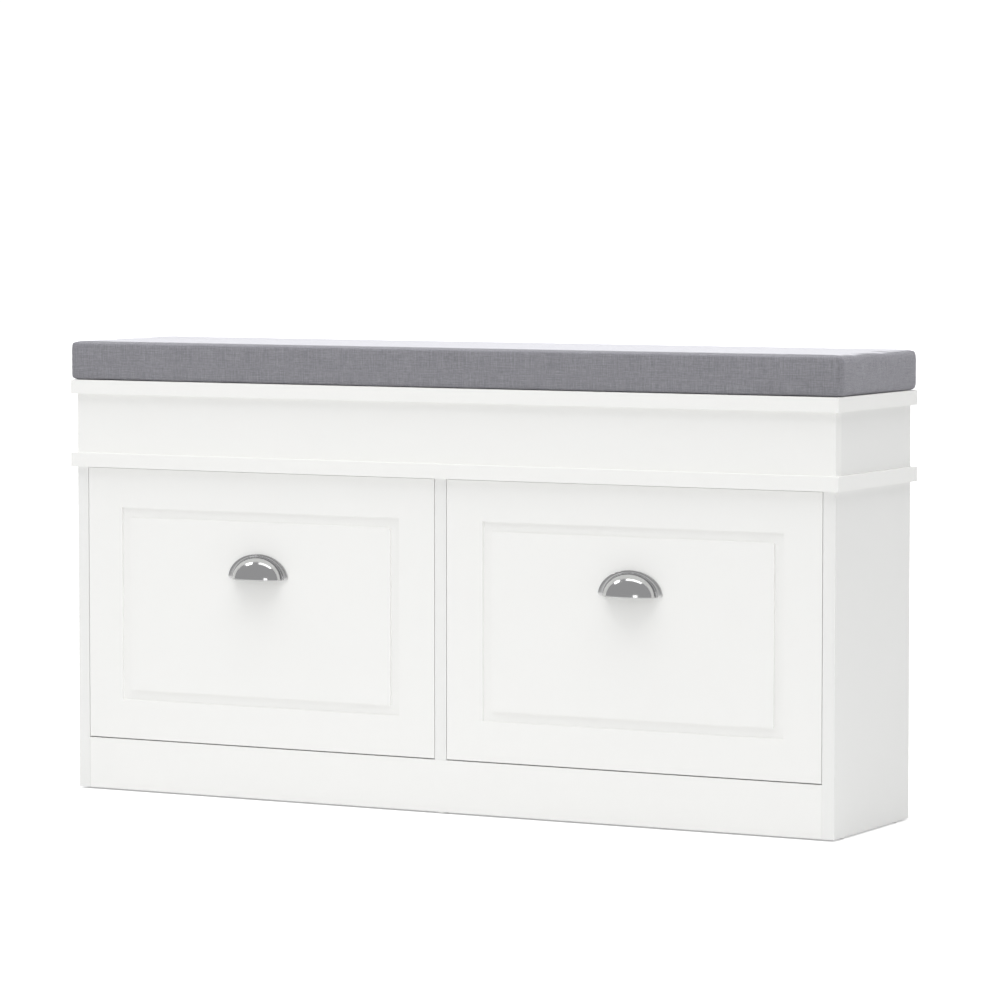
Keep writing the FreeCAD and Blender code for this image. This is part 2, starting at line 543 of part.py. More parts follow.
def bracket_master():
    """A steel angle: one leg on a cheek, the other on the flap's front."""
    body = new_body("bracket_master", listed=False)
    sketch = new_sketch(body, "XY_Plane")
    draw_loop(sketch, [("0", "0"), ("bracket_side", "0"), ("bracket_side", "bracket_thick"),
                       ("bracket_thick", "bracket_thick"), ("bracket_thick", "bracket_side"),
                       ("0", "bracket_side")])
    pad(body, sketch, "bracket_wide")
    doc.recompute()
    part = {"body": body, "low": ("0", "0", "0"), "size": ["bracket_side", "bracket_side", "bracket_wide"]}
    spot = ("bracket_hole", "bracket_hole", "bracket_wide / 2")
    drill(part, "front", [spot], "small_screw_radius + hole_slack", "bracket_thick")
    drill(part, "left", [spot], "small_screw_radius + hole_slack", "bracket_thick")
    return body


bracket = bracket_master()


def flap_front(side, low_x):
    """The flap's front board with its routed channel, pin holes and screw holes."""
    high_x = f"({low_x} + {BAY_WIDE} - 2 * side_gap)"
    part = board(f"{side}_flap_front", (low_x, FRONT, FRONT_LOW), (high_x, FRONT_BACK, FRONT_HIGH))
    wide, high = part["size"][0], part["size"][2]

    def channel(sketch, across):
        """A rectangular channel: one outline inside another."""
        far = "(channel_inset + channel_wide)"
        near = "channel_inset"
        draw_box(sketch, (near, near), (f"{wide} - {near}", f"{high} - {near}"))
        draw_box(sketch, (far, far), (f"{wide} - {far}", f"{high} - {far}"))
    cut_in(part, "front", "channel_deep", channel)
    for face in ("left", "right"):
        drill(part, face, [("0", PIVOT_Y, PIVOT_Z)], "pin_radius + press_slack", "pin_hold + hole_slack")
    return part


# The angle that the peg's own width takes up on its ring, and where the slot begins
SLOT_END = "(180 / pi * (peg_radius + peg_slack) / peg_ring)"
SLOT_START = f"(peg_angle - {SLOT_END})"


def cheek(side, end, low_x):
    """A fan-shaped side of the rack, drawn from the pivot, with the slot that the stop peg runs in."""
    body = new_body(f"{side}_{end}_cheek")
    sketch = new_sketch(body, "YZ_Plane")
    near, reach, foot, fan = (number_of(text) for text in ("front_thick / 2", RACK_REACH, "-cheek_foot", FAN))
    high = (fan ** 2 - near ** 2) ** 0.5
    low = (fan ** 2 - reach ** 2) ** 0.5
    sketch.addGeometry(Part.LineSegment(V(near, foot, 0), V(reach, foot, 0)), False)
    sketch.addGeometry(Part.LineSegment(V(reach, foot, 0), V(reach, low, 0)), False)
    middle_angle = (V(reach, low, 0) + V(near, high, 0)).normalize()
    sketch.addGeometry(Part.Arc(V(reach, low, 0), middle_angle * fan, V(near, high, 0)), False)
    sketch.addGeometry(Part.LineSegment(V(near, high, 0), V(near, foot, 0)), False)
    for line in range(4):
        sketch.addConstraint(Sketcher.Constraint("Coincident", line, 2, (line + 1) % 4, 1))
    sketch.addConstraint(Sketcher.Constraint("Coincident", 2, 3, -1, 1))
    sketch.addConstraint(Sketcher.Constraint("Horizontal", 0))
    sketch.addConstraint(Sketcher.Constraint("Vertical", 1))
    sketch.addConstraint(Sketcher.Constraint("Vertical", 3))
    pin_down(sketch, "DistanceX", 0, 1, "front_thick / 2")
    pin_down(sketch, "DistanceY", 0, 1, "-cheek_foot")
    pin_down(sketch, "DistanceX", 1, 1, RACK_REACH)
    pin_down(sketch, "Radius", 2, 0, FAN)
    pad(body, sketch, "cheek_thick")
    doc.recompute()
    # The slot starts a little before the peg and runs back as far as the flap opens
    slot_sketch = new_sketch(body, "XZ_Plane", turn=FreeCAD.Rotation(V(-1, 0, 0), number_of(SLOT_START)))
    slot_sketch.setExpression("AttachmentOffset.Rotation.Angle", bound(SLOT_START))
    half = "(peg_radius + peg_slack)"
    draw_box(slot_sketch, ("0", f"peg_ring - {half}"), ("cheek_thick", f"peg_ring + {half}"))
    before = body.Shape.Volume
    slot = body.newObject("PartDesign::Groove", f"{body.Name}_slot")
    slot.Profile = slot_sketch
    slot.ReferenceAxis = (slot_sketch, ["H_Axis"])
    slot.Reversed = True
    slot.setExpression("Angle", bound(f"open_angle + 2 * {SLOT_END}"))
    body.Tip = slot
    move_to(body, (low_x, PIVOT_Y, PIVOT_Z))
    doc.recompute()
    turn_wide = number_of(f"open_angle + 2 * {SLOT_END}")
    expected = number_of(f"cheek_thick * 2 * {half} * peg_ring") * math.radians(turn_wide)
    if abs(before - body.Shape.Volume - expected) > 1:
        raise ValueError(f"the slot in {body.Label} is not whole")
    return {"body": body, "low": (low_x, PIVOT_Y, PIVOT_Z), "size": ["cheek_thick", RACK_REACH, FAN]}


def flap(side, low_x, middle):
    """One flap: front, pull, rack, brackets, pins, strike plate and screws. It turns about its pins."""
    front = flap_front(side, low_x)
    high_x = f"({low_x} + {BAY_WIDE} - 2 * side_gap)"
    left_x = f"({low_x} - side_gap + cheek_gap)"
    right_x = f"({high_x} + side_gap - cheek_gap - cheek_thick)"
    left_in = f"({left_x} + cheek_thick)"
    cheeks = [cheek(side, "left", left_x), cheek(side, "right", right_x)]
    floor_low = f"({PIVOT_Z} - cheek_foot)"
    floor_high = f"({floor_low} + rack_board)"
    rear = f"({PIVOT_Y} + {RACK_REACH})"
    rack_bottom = board(f"{side}_rack_bottom", (left_in, FRONT_BACK, floor_low), (right_x, rear, floor_high))
    rack_back = board(f"{side}_rack_back", (left_in, f"{rear} - rack_board", floor_high),
                      (right_x, rear, f"{floor_high} + {RACK_BACK_HIGH}"))
    divider_y = f"({FRONT_BACK} + front_pocket)"
    divider = board(f"{side}_rack_divider", (left_in, divider_y, floor_high),
                    (right_x, f"{divider_y} + rack_board", f"{floor_high} + {DIVIDER_HIGH}"))

    # Screws through each cheek into the ends of the rack boards
    floor_z = f"({floor_low} + rack_board / 2)"
    back_y = f"({rear} - rack_board / 2)"
    middle_y = f"({divider_y} + rack_board / 2)"
    bottom_spots = [("0", f"({FRONT_BACK} + rack_screw_inset)", floor_z),
                    ("0", f"({rear} - rack_screw_inset)", floor_z)]
    back_spots = [("0", back_y, f"({floor_high} + rack_screw_inset)"),
                  ("0", back_y, f"({floor_high} + {RACK_BACK_HIGH} - rack_screw_inset)")]
    divider_spots = [("0", middle_y, f"({floor_high} + {DIVIDER_HIGH} - rack_screw_inset)")]
    every_spot = bottom_spots + back_spots + divider_spots
    bite = "rack_screw_long + small_head_high - cheek_thick + tip_air"
    hole = "small_screw_radius + hole_slack"
    rack_screw_spots = []
    for part, outer, board_face, way, x in ((cheeks[0], "left", "left", "+X", left_x),
                                            (cheeks[1], "right", "right", "-X", f"({right_x} + cheek_thick)")):
        drill(part, outer, every_spot, hole, "cheek_thick")
        drill(part, outer, every_spot, "small_head + hole_slack", "small_head_high")
        drill(rack_bottom, board_face, bottom_spots, hole, bite)
        drill(rack_back, board_face, back_spots, hole, bite)
        drill(divider, board_face, divider_spots, hole, bite)
        sign = "+" if way == "+X" else "-"
        rack_screw_spots += [(way, (f"({x} {sign} small_head_high)", y, z)) for _, y, z in every_spot]
    group(f"{side}_rack_screws", rack_screw, rack_screw_spots)

    # Steel angles in the corners between the cheeks and the front
    copies = []
    angle_screws = []
    for level in ("bracket_low", "bracket_high"):
        z = f"({PIVOT_Z} + {level})"
        screw_z = f"({z} + bracket_wide / 2)"
        for part, face, x, sign, way in ((cheeks[0], "right", left_in, "+", "-X"),
                                         (cheeks[1], "left", right_x, "-", "+X")):
            copies.append((x, z, sign))
            cheek_spot = (x, f"({FRONT_BACK} + bracket_hole)", screw_z)
            front_spot = (f"({x} {sign} bracket_hole)", FRONT_BACK, screw_z)
            drill(part, face, [cheek_spot], hole, "small_screw_long - bracket_thick + hole_slack")
            drill(front, "back", [front_spot], hole, "small_screw_long - bracket_thick + hole_slack")
            angle_screws.append((way, (f"({x} {sign} bracket_thick)", cheek_spot[1], screw_z)))
            angle_screws.append(("-Y", (front_spot[0], f"({FRONT_BACK} + bracket_thick)", screw_z)))
    links = []
    for index, (x, z, sign) in enumerate(copies):
        link = doc.addObject("App::Link", f"{side}_bracket_{index}")
        link.LinkedObject = bracket
        corner_z = z if sign == "+" else f"({z} + bracket_wide)"
        turn = FreeCAD.Rotation() if sign == "+" else FreeCAD.Rotation(V(0, 1, 0), 180)
        move_to(link, (x, FRONT_BACK, corner_z), turn)
        links.append(link)
    angles = doc.addObject("Part::Compound", f"{side}_brackets")
    angles.Label = f"{side}_brackets"
    angles.Links = links
    nodes.append(angles)
    group(f"{side}_bracket_screws", small_screw, angle_screws)

    # Pivot pins pressed into the ends of the front
    pin_spots = [("+X", (f"({low_x} - side_gap - pin_reach)", PIVOT_Y, PIVOT_Z)),
                 ("-X", (f"({high_x} + side_gap + pin_reach)", PIVOT_Y, PIVOT_Z))]
    group(f"{side}_pivot_pins", pin, pin_spots)

    # Cup pull and its two screws from behind
    pull = doc.addObject("Part::Feature", f"{side}_cup_pull")
    pull.Label = f"{side}_cup_pull"
    pull.Shape = cup_pull_shape()
    move_to(pull, (middle, FRONT, PULL_Z))
    nodes.append(pull)
    pull_spots = [(f"({middle} {sign} boss_spread / 2)", "0", f"({PULL_Z} + boss_rise)") for sign in "-+"]
    drill(front, "back", pull_spots, "pull_screw_radius + hole_slack", "front_thick")
    group(f"{side}_pull_screws", pull_screw, [("-Y", (x, FRONT_BACK, z)) for x, _, z in pull_spots])

    # Strike plate that the catch holds
    strike_low = f"({FRONT_HIGH} - strike_high)"
    board(f"{side}_strike_plate", (f"{middle} - strike_wide / 2", FRONT_BACK, strike_low),
          (f"{middle} + strike_wide / 2", f"{FRONT_BACK} + strike_thick", FRONT_HIGH))
    catch(side, middle)


flap("left", f"({INNER_LEFT} + side_gap)", f"({INNER_LEFT} + {BAY_WIDE} / 2)")
flap("right", "(panel_thick / 2 + side_gap)", f"({INNER_RIGHT} - {BAY_WIDE} / 2)")
group("catch_screws", small_screw, catch_screw_spots)

# ---------------------------------------------------------------- cushion
CUSHION_LOW = f"({SEAT} + tape_thick + tape_air)"
CUSHION_HIGH = f"({SEAT} + cushion_thick)"
EDGE = "(case_width / 2 + overhang - cushion_inset)"
CUSHION_FRONT = f"({FRONT} - overhang + cushion_inset)"
CUSHION_BACK = f"({BACK} + overhang - cushion_inset - zip_thick)"
cover = board("cushion_cover", (f"-{EDGE}", CUSHION_FRONT, CUSHION_LOW), (EDGE, CUSHION_BACK, CUSHION_HIGH))
block_pad = cover["body"].Tip
upright = [f"Edge{index}" for index, edge in enumerate(block_pad.Shape.Edges, start=1)
           if abs(edge.tangentAt(edge.FirstParameter).z) > 0.9]
rounding = cover["body"].newObject("PartDesign::Fillet", "cushion_round")
rounding.Base = (block_pad, upright)
rounding.setExpression("Radius", bound("cover_round"))
cover["body"].Tip = rounding
doc.recompute()
foam_gap = "(cover_thick + foam_air)"
foam_side = f"({foam_gap} + cover_round / 2)"
foam_low = (f"-{EDGE} + {foam_side}", f"{CUSHION_FRONT} + {foam_side}", f"{CUSHION_LOW} + {foam_gap}")
foam_high = (f"{EDGE} - {foam_side}", f"{CUSHION_BACK} - {foam_side}", f"{CUSHION_HIGH} - {foam_gap}")
foam = board("cushion_foam", foam_low, foam_high)
# The cover is hollow: it is cut by the space that the foam fills
hollow = doc.addObject("Part::Box", "cover_space")
for name, axis in (("Length", 0), ("Width", 1), ("Height", 2)):
    hollow.setExpression(name, bound(f"{foam['size'][axis]} + 2 * foam_air"))
move_to(hollow, [f"({low}) - foam_air" for low in foam["low"]])
shell = doc.addObject("Part::Cut", "cover_shell")
shell.Base = cover["body"]
shell.Tool = hollow
nodes.remove(cover["body"])
cover["body"].Label = "cover_blank"
shell.Label = "cushion_cover"
nodes.append(shell)
zip_z = f"({CUSHION_LOW} + (cushion_thick - zip_high) / 2)"
board("cushion_zip", ("-zip_long / 2", CUSHION_BACK, zip_z),
      ("zip_long / 2", f"{CUSHION_BACK} + zip_thick", f"{zip_z} + zip_high"))


def tape(label, low_z, high_z):
    """Two strips of touch tape, one near each end of the seat."""
    strips = []
    for index, start in enumerate((f"({LEFT} + tape_inset)", f"({RIGHT} - tape_inset - tape_long)")):
        strip = doc.addObject("Part::Box", f"{label}_{index}")
        strip.setExpression("Length", "sizes.tape_long")
        strip.setExpression("Width", "sizes.tape_wide")
        strip.setExpression("Height", bound(f"{high_z} - {low_z}"))
        move_to(strip, (start, f"({SIDE_MIDDLE_Y} - tape_wide / 2)", low_z))
        strips.append(strip)
    together = doc.addObject("Part::Compound", label)
    together.Label = label
    together.Links = strips
    nodes.append(together)


TAPE_SPLIT = f"({SEAT} + tape_thick / 2)"
tape("hook_tapes", SEAT, TAPE_SPLIT)
tape("loop_tapes", f"({TAPE_SPLIT} + tape_air)", CUSHION_LOW)

# ---------------------------------------------------------------- checks and files
doc.recompute()
for item in doc.Objects:
    if "Invalid" in item.State or "Error" in item.State:
        raise ValueError(f"{item.Label} did not recompute: {item.State}")
for node in nodes:
    if node.Shape.isNull() or not node.Shape.isValid() or not node.Shape.Solids:
        raise ValueError(f"{node.Label} has no sound solid")
os.makedirs("parts", exist_ok=True)
for node in nodes:
    node.Shape.exportStep(f"parts/{node.Label}.step")
print(len(nodes), "pieces written")
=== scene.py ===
"""Dresses the entryway bench: lacquered boards, polished cup pulls, a sewn cushion and their hardware."""
import sys
import json
import logging
import math
from dataclasses import dataclass
from enum import Enum

import bmesh
import bpy
from mathutils import Matrix, Vector


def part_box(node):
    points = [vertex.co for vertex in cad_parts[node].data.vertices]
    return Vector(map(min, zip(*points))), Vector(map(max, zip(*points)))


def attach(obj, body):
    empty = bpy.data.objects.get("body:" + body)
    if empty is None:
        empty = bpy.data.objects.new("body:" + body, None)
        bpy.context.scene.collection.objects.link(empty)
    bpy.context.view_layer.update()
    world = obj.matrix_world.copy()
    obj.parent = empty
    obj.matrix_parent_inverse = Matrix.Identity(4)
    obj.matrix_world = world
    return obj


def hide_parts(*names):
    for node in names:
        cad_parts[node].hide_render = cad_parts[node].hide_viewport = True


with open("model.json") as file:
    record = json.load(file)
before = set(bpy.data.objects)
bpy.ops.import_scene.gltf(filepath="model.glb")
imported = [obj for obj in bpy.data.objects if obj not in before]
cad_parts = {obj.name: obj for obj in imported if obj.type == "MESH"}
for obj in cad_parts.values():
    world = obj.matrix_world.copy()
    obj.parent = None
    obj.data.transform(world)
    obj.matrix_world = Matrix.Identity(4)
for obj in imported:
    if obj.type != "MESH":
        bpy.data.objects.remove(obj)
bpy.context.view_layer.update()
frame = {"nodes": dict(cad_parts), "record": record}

LOG = logging.getLogger("bench")
NODES = frame["nodes"]
MM = 0.001
WELD = 0.001 * MM


# ---------------------------------------------------------------------------------------------- node graphs
class Graph:
    """A short hand on one node tree, for materials and shared groups alike."""

    def __init__(self, tree: bpy.types.NodeTree) -> None:
        """Takes the tree that the nodes go in.

        Args:
            tree: a material's or a group's node tree.
        """
        self.tree = tree

    def add(self, kind: str, *wires: tuple, **settings: object) -> bpy.types.Node:
        """Adds a node, sets its properties and feeds its inputs.

        Args:
            kind: the node's type, without the ShaderNode in front.
            *wires: pairs of an input's name or number and a socket or a plain value for it.
            **settings: properties of the node, such as operation.

        Returns:
            The new node.
        """
        node = self.tree.nodes.new(kind if kind.startswith("Node") else f"ShaderNode{kind}")
        for name, value in settings.items():
            setattr(node, name, value)
        for name, value in wires:
            if isinstance(value, bpy.types.NodeSocket):
                self.tree.links.new(value, node.inputs[name])
            else:
                node.inputs[name].default_value = value
        return node

    def math(self, operation: str, first: object, second: object = 0.0,
             clamp: bool = False) -> bpy.types.NodeSocket:
        """Adds one sum.

        Args:
            operation: what the Math node does.
            first: a socket or a number.
            second: a socket or a number.
            clamp: whether the result is kept between 0 and 1.

        Returns:
            The socket that carries the result.
        """
        node = self.add("Math", (0, first), (1, second), operation=operation, use_clamp=clamp)
        return node.outputs[0]

    def noise(self, vector: object, scale: float, detail: float = 3.0,
              stretch: tuple = (1, 1, 1)) -> bpy.types.NodeSocket:
        """Adds a noise, stretched by a Mapping node.

        Args:
            vector: the coordinates to read.
            scale: how fine it is, in lumps per metre.
            detail: how many octaves it has.
            stretch: the scale along each axis.

        Returns:
            The socket with its value, about 0.5 on average.
        """
        mapped = self.add("Mapping", ("Vector", vector), ("Scale", stretch)).outputs[0]
        node = self.add("TexNoise", ("Vector", mapped), ("Scale", scale), ("Detail", detail))
        return node.outputs["Fac"]

    def ramp(self, value: object, low: float, high: float, start: float = 0.0,
             end: float = 1.0) -> bpy.types.NodeSocket:
        """Maps a range of values to another, and keeps it inside.

        Args:
            value: the socket to map.
            low: the value that becomes start.
            high: the value that becomes end.
            start: the lower result.
            end: the upper result.

        Returns:
            The socket with the result.
        """
        node = self.add("MapRange", ("Value", value), ("From Min", low), ("From Max", high),
                        ("To Min", start), ("To Max", end))
        return node.outputs[0]

    def mix(self, factor: object, first: object, second: object, blend: str = "MIX") -> bpy.types.NodeSocket:
        """Mixes two colours.

        Args:
            factor: how much of the second colour.
            first: a socket or an RGBA colour.
            second: a socket or an RGBA colour.
            blend: the blend type.

        Returns:
            The socket with the mixed colour.
        """
        node = self.add("Mix", (0, factor), (6, first), (7, second), data_type="RGBA", blend_type=blend)
        return node.outputs[2]


def shared_group(name: str, inputs: dict[str, object],
                 outputs: dict[str, str]) -> tuple[Graph, bpy.types.Node, bpy.types.Node]:
    """Starts a node group with named sockets.

    Args:
        name: the group's name.
        inputs: each input's name and default: a number, a colour of four or a vector of three.
        outputs: each output's name and kind, Float or Color.

    Returns:
        The graph, the group's input node and its output node.
    """
    tree = bpy.data.node_groups.new(name, "ShaderNodeTree")
    for label, default in inputs.items():
        if isinstance(default, (int, float)):
            kind = "NodeSocketFloat"
        else:
            kind = "NodeSocketColor" if len(default) == 4 else "NodeSocketVector"
        socket = tree.interface.new_socket(label, in_out="INPUT", socket_type=kind)
        socket.default_value = default
    for label, kind in outputs.items():
        tree.interface.new_socket(label, in_out="OUTPUT", socket_type=f"NodeSocket{kind}")
    graph = Graph(tree)
    return graph, graph.add("NodeGroupInput"), graph.add("NodeGroupOutput")


def edge_wear_group() -> bpy.types.NodeTree:
    """Makes the group that brightens a metal along its rubbed edges.

    Returns:
        The group: Color, mixed from Color and Bare by Amount.
    """
    graph, given, result = shared_group(
        "edge_wear", {"Vector": (0, 0, 0), "Color": (1, 1, 1, 1), "Bare": (1, 1, 1, 1), "Amount": 0.5},
        {"Color": "Color"})
    pointed = graph.add("NewGeometry").outputs["Pointiness"]
    edge = graph.ramp(pointed, low=0.515, high=0.58)
    patch = graph.ramp(graph.noise(given.outputs["Vector"], scale=60.0, detail=4.0), low=0.42, high=0.62)
    mask = graph.math("MULTIPLY", graph.math("MULTIPLY", edge, patch), given.outputs["Amount"], clamp=True)
    color = graph.mix(mask, given.outputs["Color"], given.outputs["Bare"])
    graph.tree.links.new(color, result.inputs["Color"])
    return graph.tree


def lacquer_skin_group() -> bpy.types.NodeTree:
    """Makes the group for a sprayed, lightly brushed paint film.

    Returns:
        The group: Tone, Gloss and Height, all read from a Vector.
    """
    graph, given, result = shared_group(
        "lacquer_skin", {"Vector": (0, 0, 0), "Streak": (0.06, 1.0, 1.0)},
        {"Tone": "Float", "Gloss": "Float", "Height": "Float"})
    vector = given.outputs["Vector"]
    drawn_out = graph.add("VectorMath", (0, vector), (1, given.outputs["Streak"]), operation="MULTIPLY")
    streak = graph.noise(drawn_out.outputs[0], scale=900.0, detail=4.0)
    cloud = graph.noise(vector, scale=9.0, detail=2.0)
    peel = graph.noise(vector, scale=1400.0, detail=2.0)
    cloud_tone = graph.ramp(cloud, low=0.2, high=0.8, start=-0.35, end=0.35)
    streak_tone = graph.ramp(streak, low=0.3, high=0.7, start=-0.5, end=0.5)
    tone = graph.math("ADD", cloud_tone, streak_tone)
    height = graph.math("ADD", graph.math("MULTIPLY", peel, 0.4), graph.math("MULTIPLY", streak, 0.6))
    gloss = graph.math("ADD", graph.math("MULTIPLY", cloud, 0.5), graph.math("MULTIPLY", streak, 0.5))
    graph.tree.links.new(tone, result.inputs["Tone"])
    graph.tree.links.new(gloss, result.inputs["Gloss"])
    graph.tree.links.new(height, result.inputs["Height"])
    return graph.tree


def weave_group() -> bpy.types.NodeTree:
    """Makes the group for a plain linen-like weave with thick and thin yarns.

    Returns:
        The group: Tone and Height, read from a UV map in metres.
    """
    graph, given, result = shared_group(
        "weave", {"Vector": (0, 0, 0), "Yarns": 900.0, "Slub": 1.0}, {"Tone": "Float", "Height": "Float"})
    vector = given.outputs["Vector"]
    split = graph.add("SeparateXYZ", ("Vector", vector))
    turns = graph.math("MULTIPLY", given.outputs["Yarns"], 2 * math.pi)
    wave_across = graph.math("SINE", graph.math("MULTIPLY", split.outputs[0], turns))
    wave_up = graph.math("SINE", graph.math("MULTIPLY", split.outputs[1], turns))
    over = graph.math("MULTIPLY", wave_across, wave_up)
    warp = graph.noise(vector, scale=100.0, detail=3.0, stretch=(9.0, 0.35, 1.0))
    weft = graph.noise(vector, scale=100.0, detail=3.0, stretch=(0.3, 9.0, 1.0))
    fine_warp = graph.noise(vector, scale=300.0, detail=1.0, stretch=(4.0, 0.5, 1.0))
    fine_weft = graph.noise(vector, scale=300.0, detail=1.0, stretch=(0.5, 4.0, 1.0))
    thick_yarns = [graph.ramp(yarn, low=0.35, high=0.75, start=-0.5, end=0.5) for yarn in (warp, weft)]
    fine_yarns = [graph.ramp(yarn, low=0.3, high=0.7, start=-0.4, end=0.4) for yarn in (fine_warp, fine_weft)]
    slub = graph.math("ADD", *thick_yarns)
    fine = graph.math("ADD", *fine_yarns)
    mottle = graph.math("MULTIPLY", graph.math("ADD", slub, fine), given.outputs["Slub"])
    tone = graph.math("ADD", mottle, graph.math("MULTIPLY", over, 0.25))
    height = graph.math("ADD", graph.math("MULTIPLY", over, 0.35), graph.math("MULTIPLY", mottle, 0.6))
    graph.tree.links.new(tone, result.inputs["Tone"])
    graph.tree.links.new(height, result.inputs["Height"])
    return graph.tree


def wood_grain_group() -> bpy.types.NodeTree:
    """Makes the group for plain sawn wood with its rings and pores.

    Returns:
        The group: Rings and Pores, read from a Vector.
    """
    graph, given, result = shared_group(
        "wood_grain", {"Vector": (0, 0, 0)}, {"Rings": "Float", "Pores": "Float"})
    vector = given.outputs["Vector"]
    bent = graph.noise(vector, scale=12.0, detail=2.0, stretch=(0.3, 1, 1))
    rings = graph.noise(vector, scale=90.0, detail=3.0, stretch=(0.08, 1.0, 1.0))
    pores = graph.noise(vector, scale=900.0, detail=2.0, stretch=(0.05, 1.0, 1.0))
    grown = graph.math("ADD", graph.math("MULTIPLY", rings, 0.8), graph.math("MULTIPLY", bent, 0.2))
    graph.tree.links.new(grown, result.inputs["Rings"])
    graph.tree.links.new(graph.ramp(pores, low=0.55, high=0.75), result.inputs["Pores"])
    return graph.tree


GROUP_MAKERS = {"edge_wear": edge_wear_group, "lacquer_skin": lacquer_skin_group, "weave": weave_group,
                "wood_grain": wood_grain_group}
GROUPS: dict[str, bpy.types.NodeTree] = {}


# ---------------------------------------------------------------------------------------------- finishes
@dataclass(frozen=True)
class Finish:
    """What every finish has: a name and a base colour, and how it starts its material."""

    name: str
    color: tuple[float, float, float]
    roughness: float

    def start(self) -> tuple[bpy.types.Material, Graph, bpy.types.Node, bpy.types.NodeSocket]:
        """Opens the material.

        Returns:
            The material, its graph, its Principled shader and its Object coordinates.
        """
        material = bpy.data.materials.new(self.name)
        material.use_nodes = True
        graph = Graph(material.node_tree)
        shader = material.node_tree.nodes["Principled BSDF"]
        shader.inputs["Roughness"].default_value = self.roughness
        shader.inputs["Base Color"].default_value = (*self.color, 1.0)
        place = graph.add("TexCoord").outputs["Object"]
        return material, graph, shader, place

    def bump(self, graph: Graph, shader: bpy.types.Node, height: object, depth: float,
             strength: float) -> None:
        """Feeds a height to the shader's normal.

        Args:
            graph: the material's graph.
            shader: its Principled shader.
            height: the socket with the height.
            depth: how deep the relief is, in metres.
            strength: how much of it shows.
        """
        node = graph.add("Bump", ("Height", height), ("Distance", depth), ("Strength", strength))
        graph.tree.links.new(node.outputs[0], shader.inputs["Normal"])


@dataclass(frozen=True)
class Lacquer(Finish):
    """Satin white paint on board, with a trace of the brush along the board."""

    streak: tuple[float, float, float] = (0.05, 1.0, 1.0)
    tone: float = 0.006
    gloss: tuple[float, float] = (-0.02, 0.03)

    def make(self) -> bpy.types.Material:
        """Builds the material.

        Returns:
            The painted board's material.
        """
        material, graph, shader, place = self.start()
        skin = graph.add("Group", node_tree=GROUPS["lacquer_skin"])
        graph.tree.links.new(place, skin.inputs["Vector"])
        skin.inputs["Streak"].default_value = self.streak
        light = tuple(min(1.0, part + self.tone) for part in self.color)
        dark = tuple(part - self.tone for part in self.color)
        tint = graph.mix(graph.ramp(skin.outputs["Tone"], low=-1.0, high=1.0), (*dark, 1), (*light, 1))
        graph.tree.links.new(tint, shader.inputs["Base Color"])
        gloss = graph.ramp(skin.outputs["Gloss"], low=0.3, high=0.7,
                           start=self.roughness + self.gloss[0], end=self.roughness + self.gloss[1])
        graph.tree.links.new(gloss, shader.inputs["Roughness"])
        shader.inputs["Specular IOR Level"].default_value = 0.42
        self.bump(graph, shader, skin.outputs["Height"], depth=0.08 * MM, strength=0.35)
        return material


@dataclass(frozen=True)
class Metal(Finish):
    """A plated or cast metal with fine lines, soft tarnish and rubbed edges."""

    line: float = 0.1
    stretch: tuple[float, float, float] = (1.0, 1.0, 1.0)
    wear: float = 0.3
    tarnished: float = 0.93
    rubbed: float = 1.15

    def make(self) -> bpy.types.Material:
        """Builds the material.

        Returns:
            The metal's material.
        """
        material, graph, shader, place = self.start()
        shader.inputs["Metallic"].default_value = 1.0
        cloud = graph.noise(place, scale=45.0, detail=3.0)
        lines = graph.noise(place, scale=1800.0, detail=2.0, stretch=self.stretch)
        dark = tuple(part * self.tarnished for part in self.color)
        tint = graph.mix(graph.ramp(cloud, low=0.35, high=0.65), (*self.color, 1), (*dark, 1))
        worn = graph.add("Group", ("Vector", place), ("Color", tint), ("Amount", self.wear),
                         node_tree=GROUPS["edge_wear"])
        worn.inputs["Bare"].default_value = (*(min(1.0, part * self.rubbed) for part in self.color), 1)
        graph.tree.links.new(worn.outputs["Color"], shader.inputs["Base Color"])
        tarnish = graph.ramp(cloud, low=0.3, high=0.7, start=self.roughness * 0.75, end=self.roughness * 1.25)
        scratch = graph.ramp(lines, low=0.4, high=0.7, start=0.0, end=self.line * self.roughness)
        graph.tree.links.new(graph.math("ADD", tarnish, scratch), shader.inputs["Roughness"])
        self.bump(graph, shader, lines, depth=0.03 * MM, strength=self.line)
        return material


@dataclass(frozen=True)
class Moulded(Finish):
    """Moulded plastic or foam with a fine pebbled skin."""

    pebble: float = 1500.0
    relief: float = 0.3
    depth: float = 0.08 * MM
    mottled: float = 0.94
    gloss: float = 0.06

    def make(self) -> bpy.types.Material:
        """Builds the material.

        Returns:
            The plastic's or foam's material.
        """
        material, graph, shader, place = self.start()
        skin = graph.noise(place, scale=self.pebble, detail=3.0)
        cloud = graph.noise(place, scale=40.0, detail=2.0)
        dark = tuple(part * self.mottled for part in self.color)
        tint = graph.mix(graph.ramp(cloud, low=0.35, high=0.65), (*self.color, 1), (*dark, 1))
        graph.tree.links.new(tint, shader.inputs["Base Color"])
        rough = graph.ramp(skin, low=0.3, high=0.7,
                           start=self.roughness - self.gloss, end=self.roughness + self.gloss)
        graph.tree.links.new(rough, shader.inputs["Roughness"])
        self.bump(graph, shader, skin, depth=self.depth, strength=self.relief)
        return material


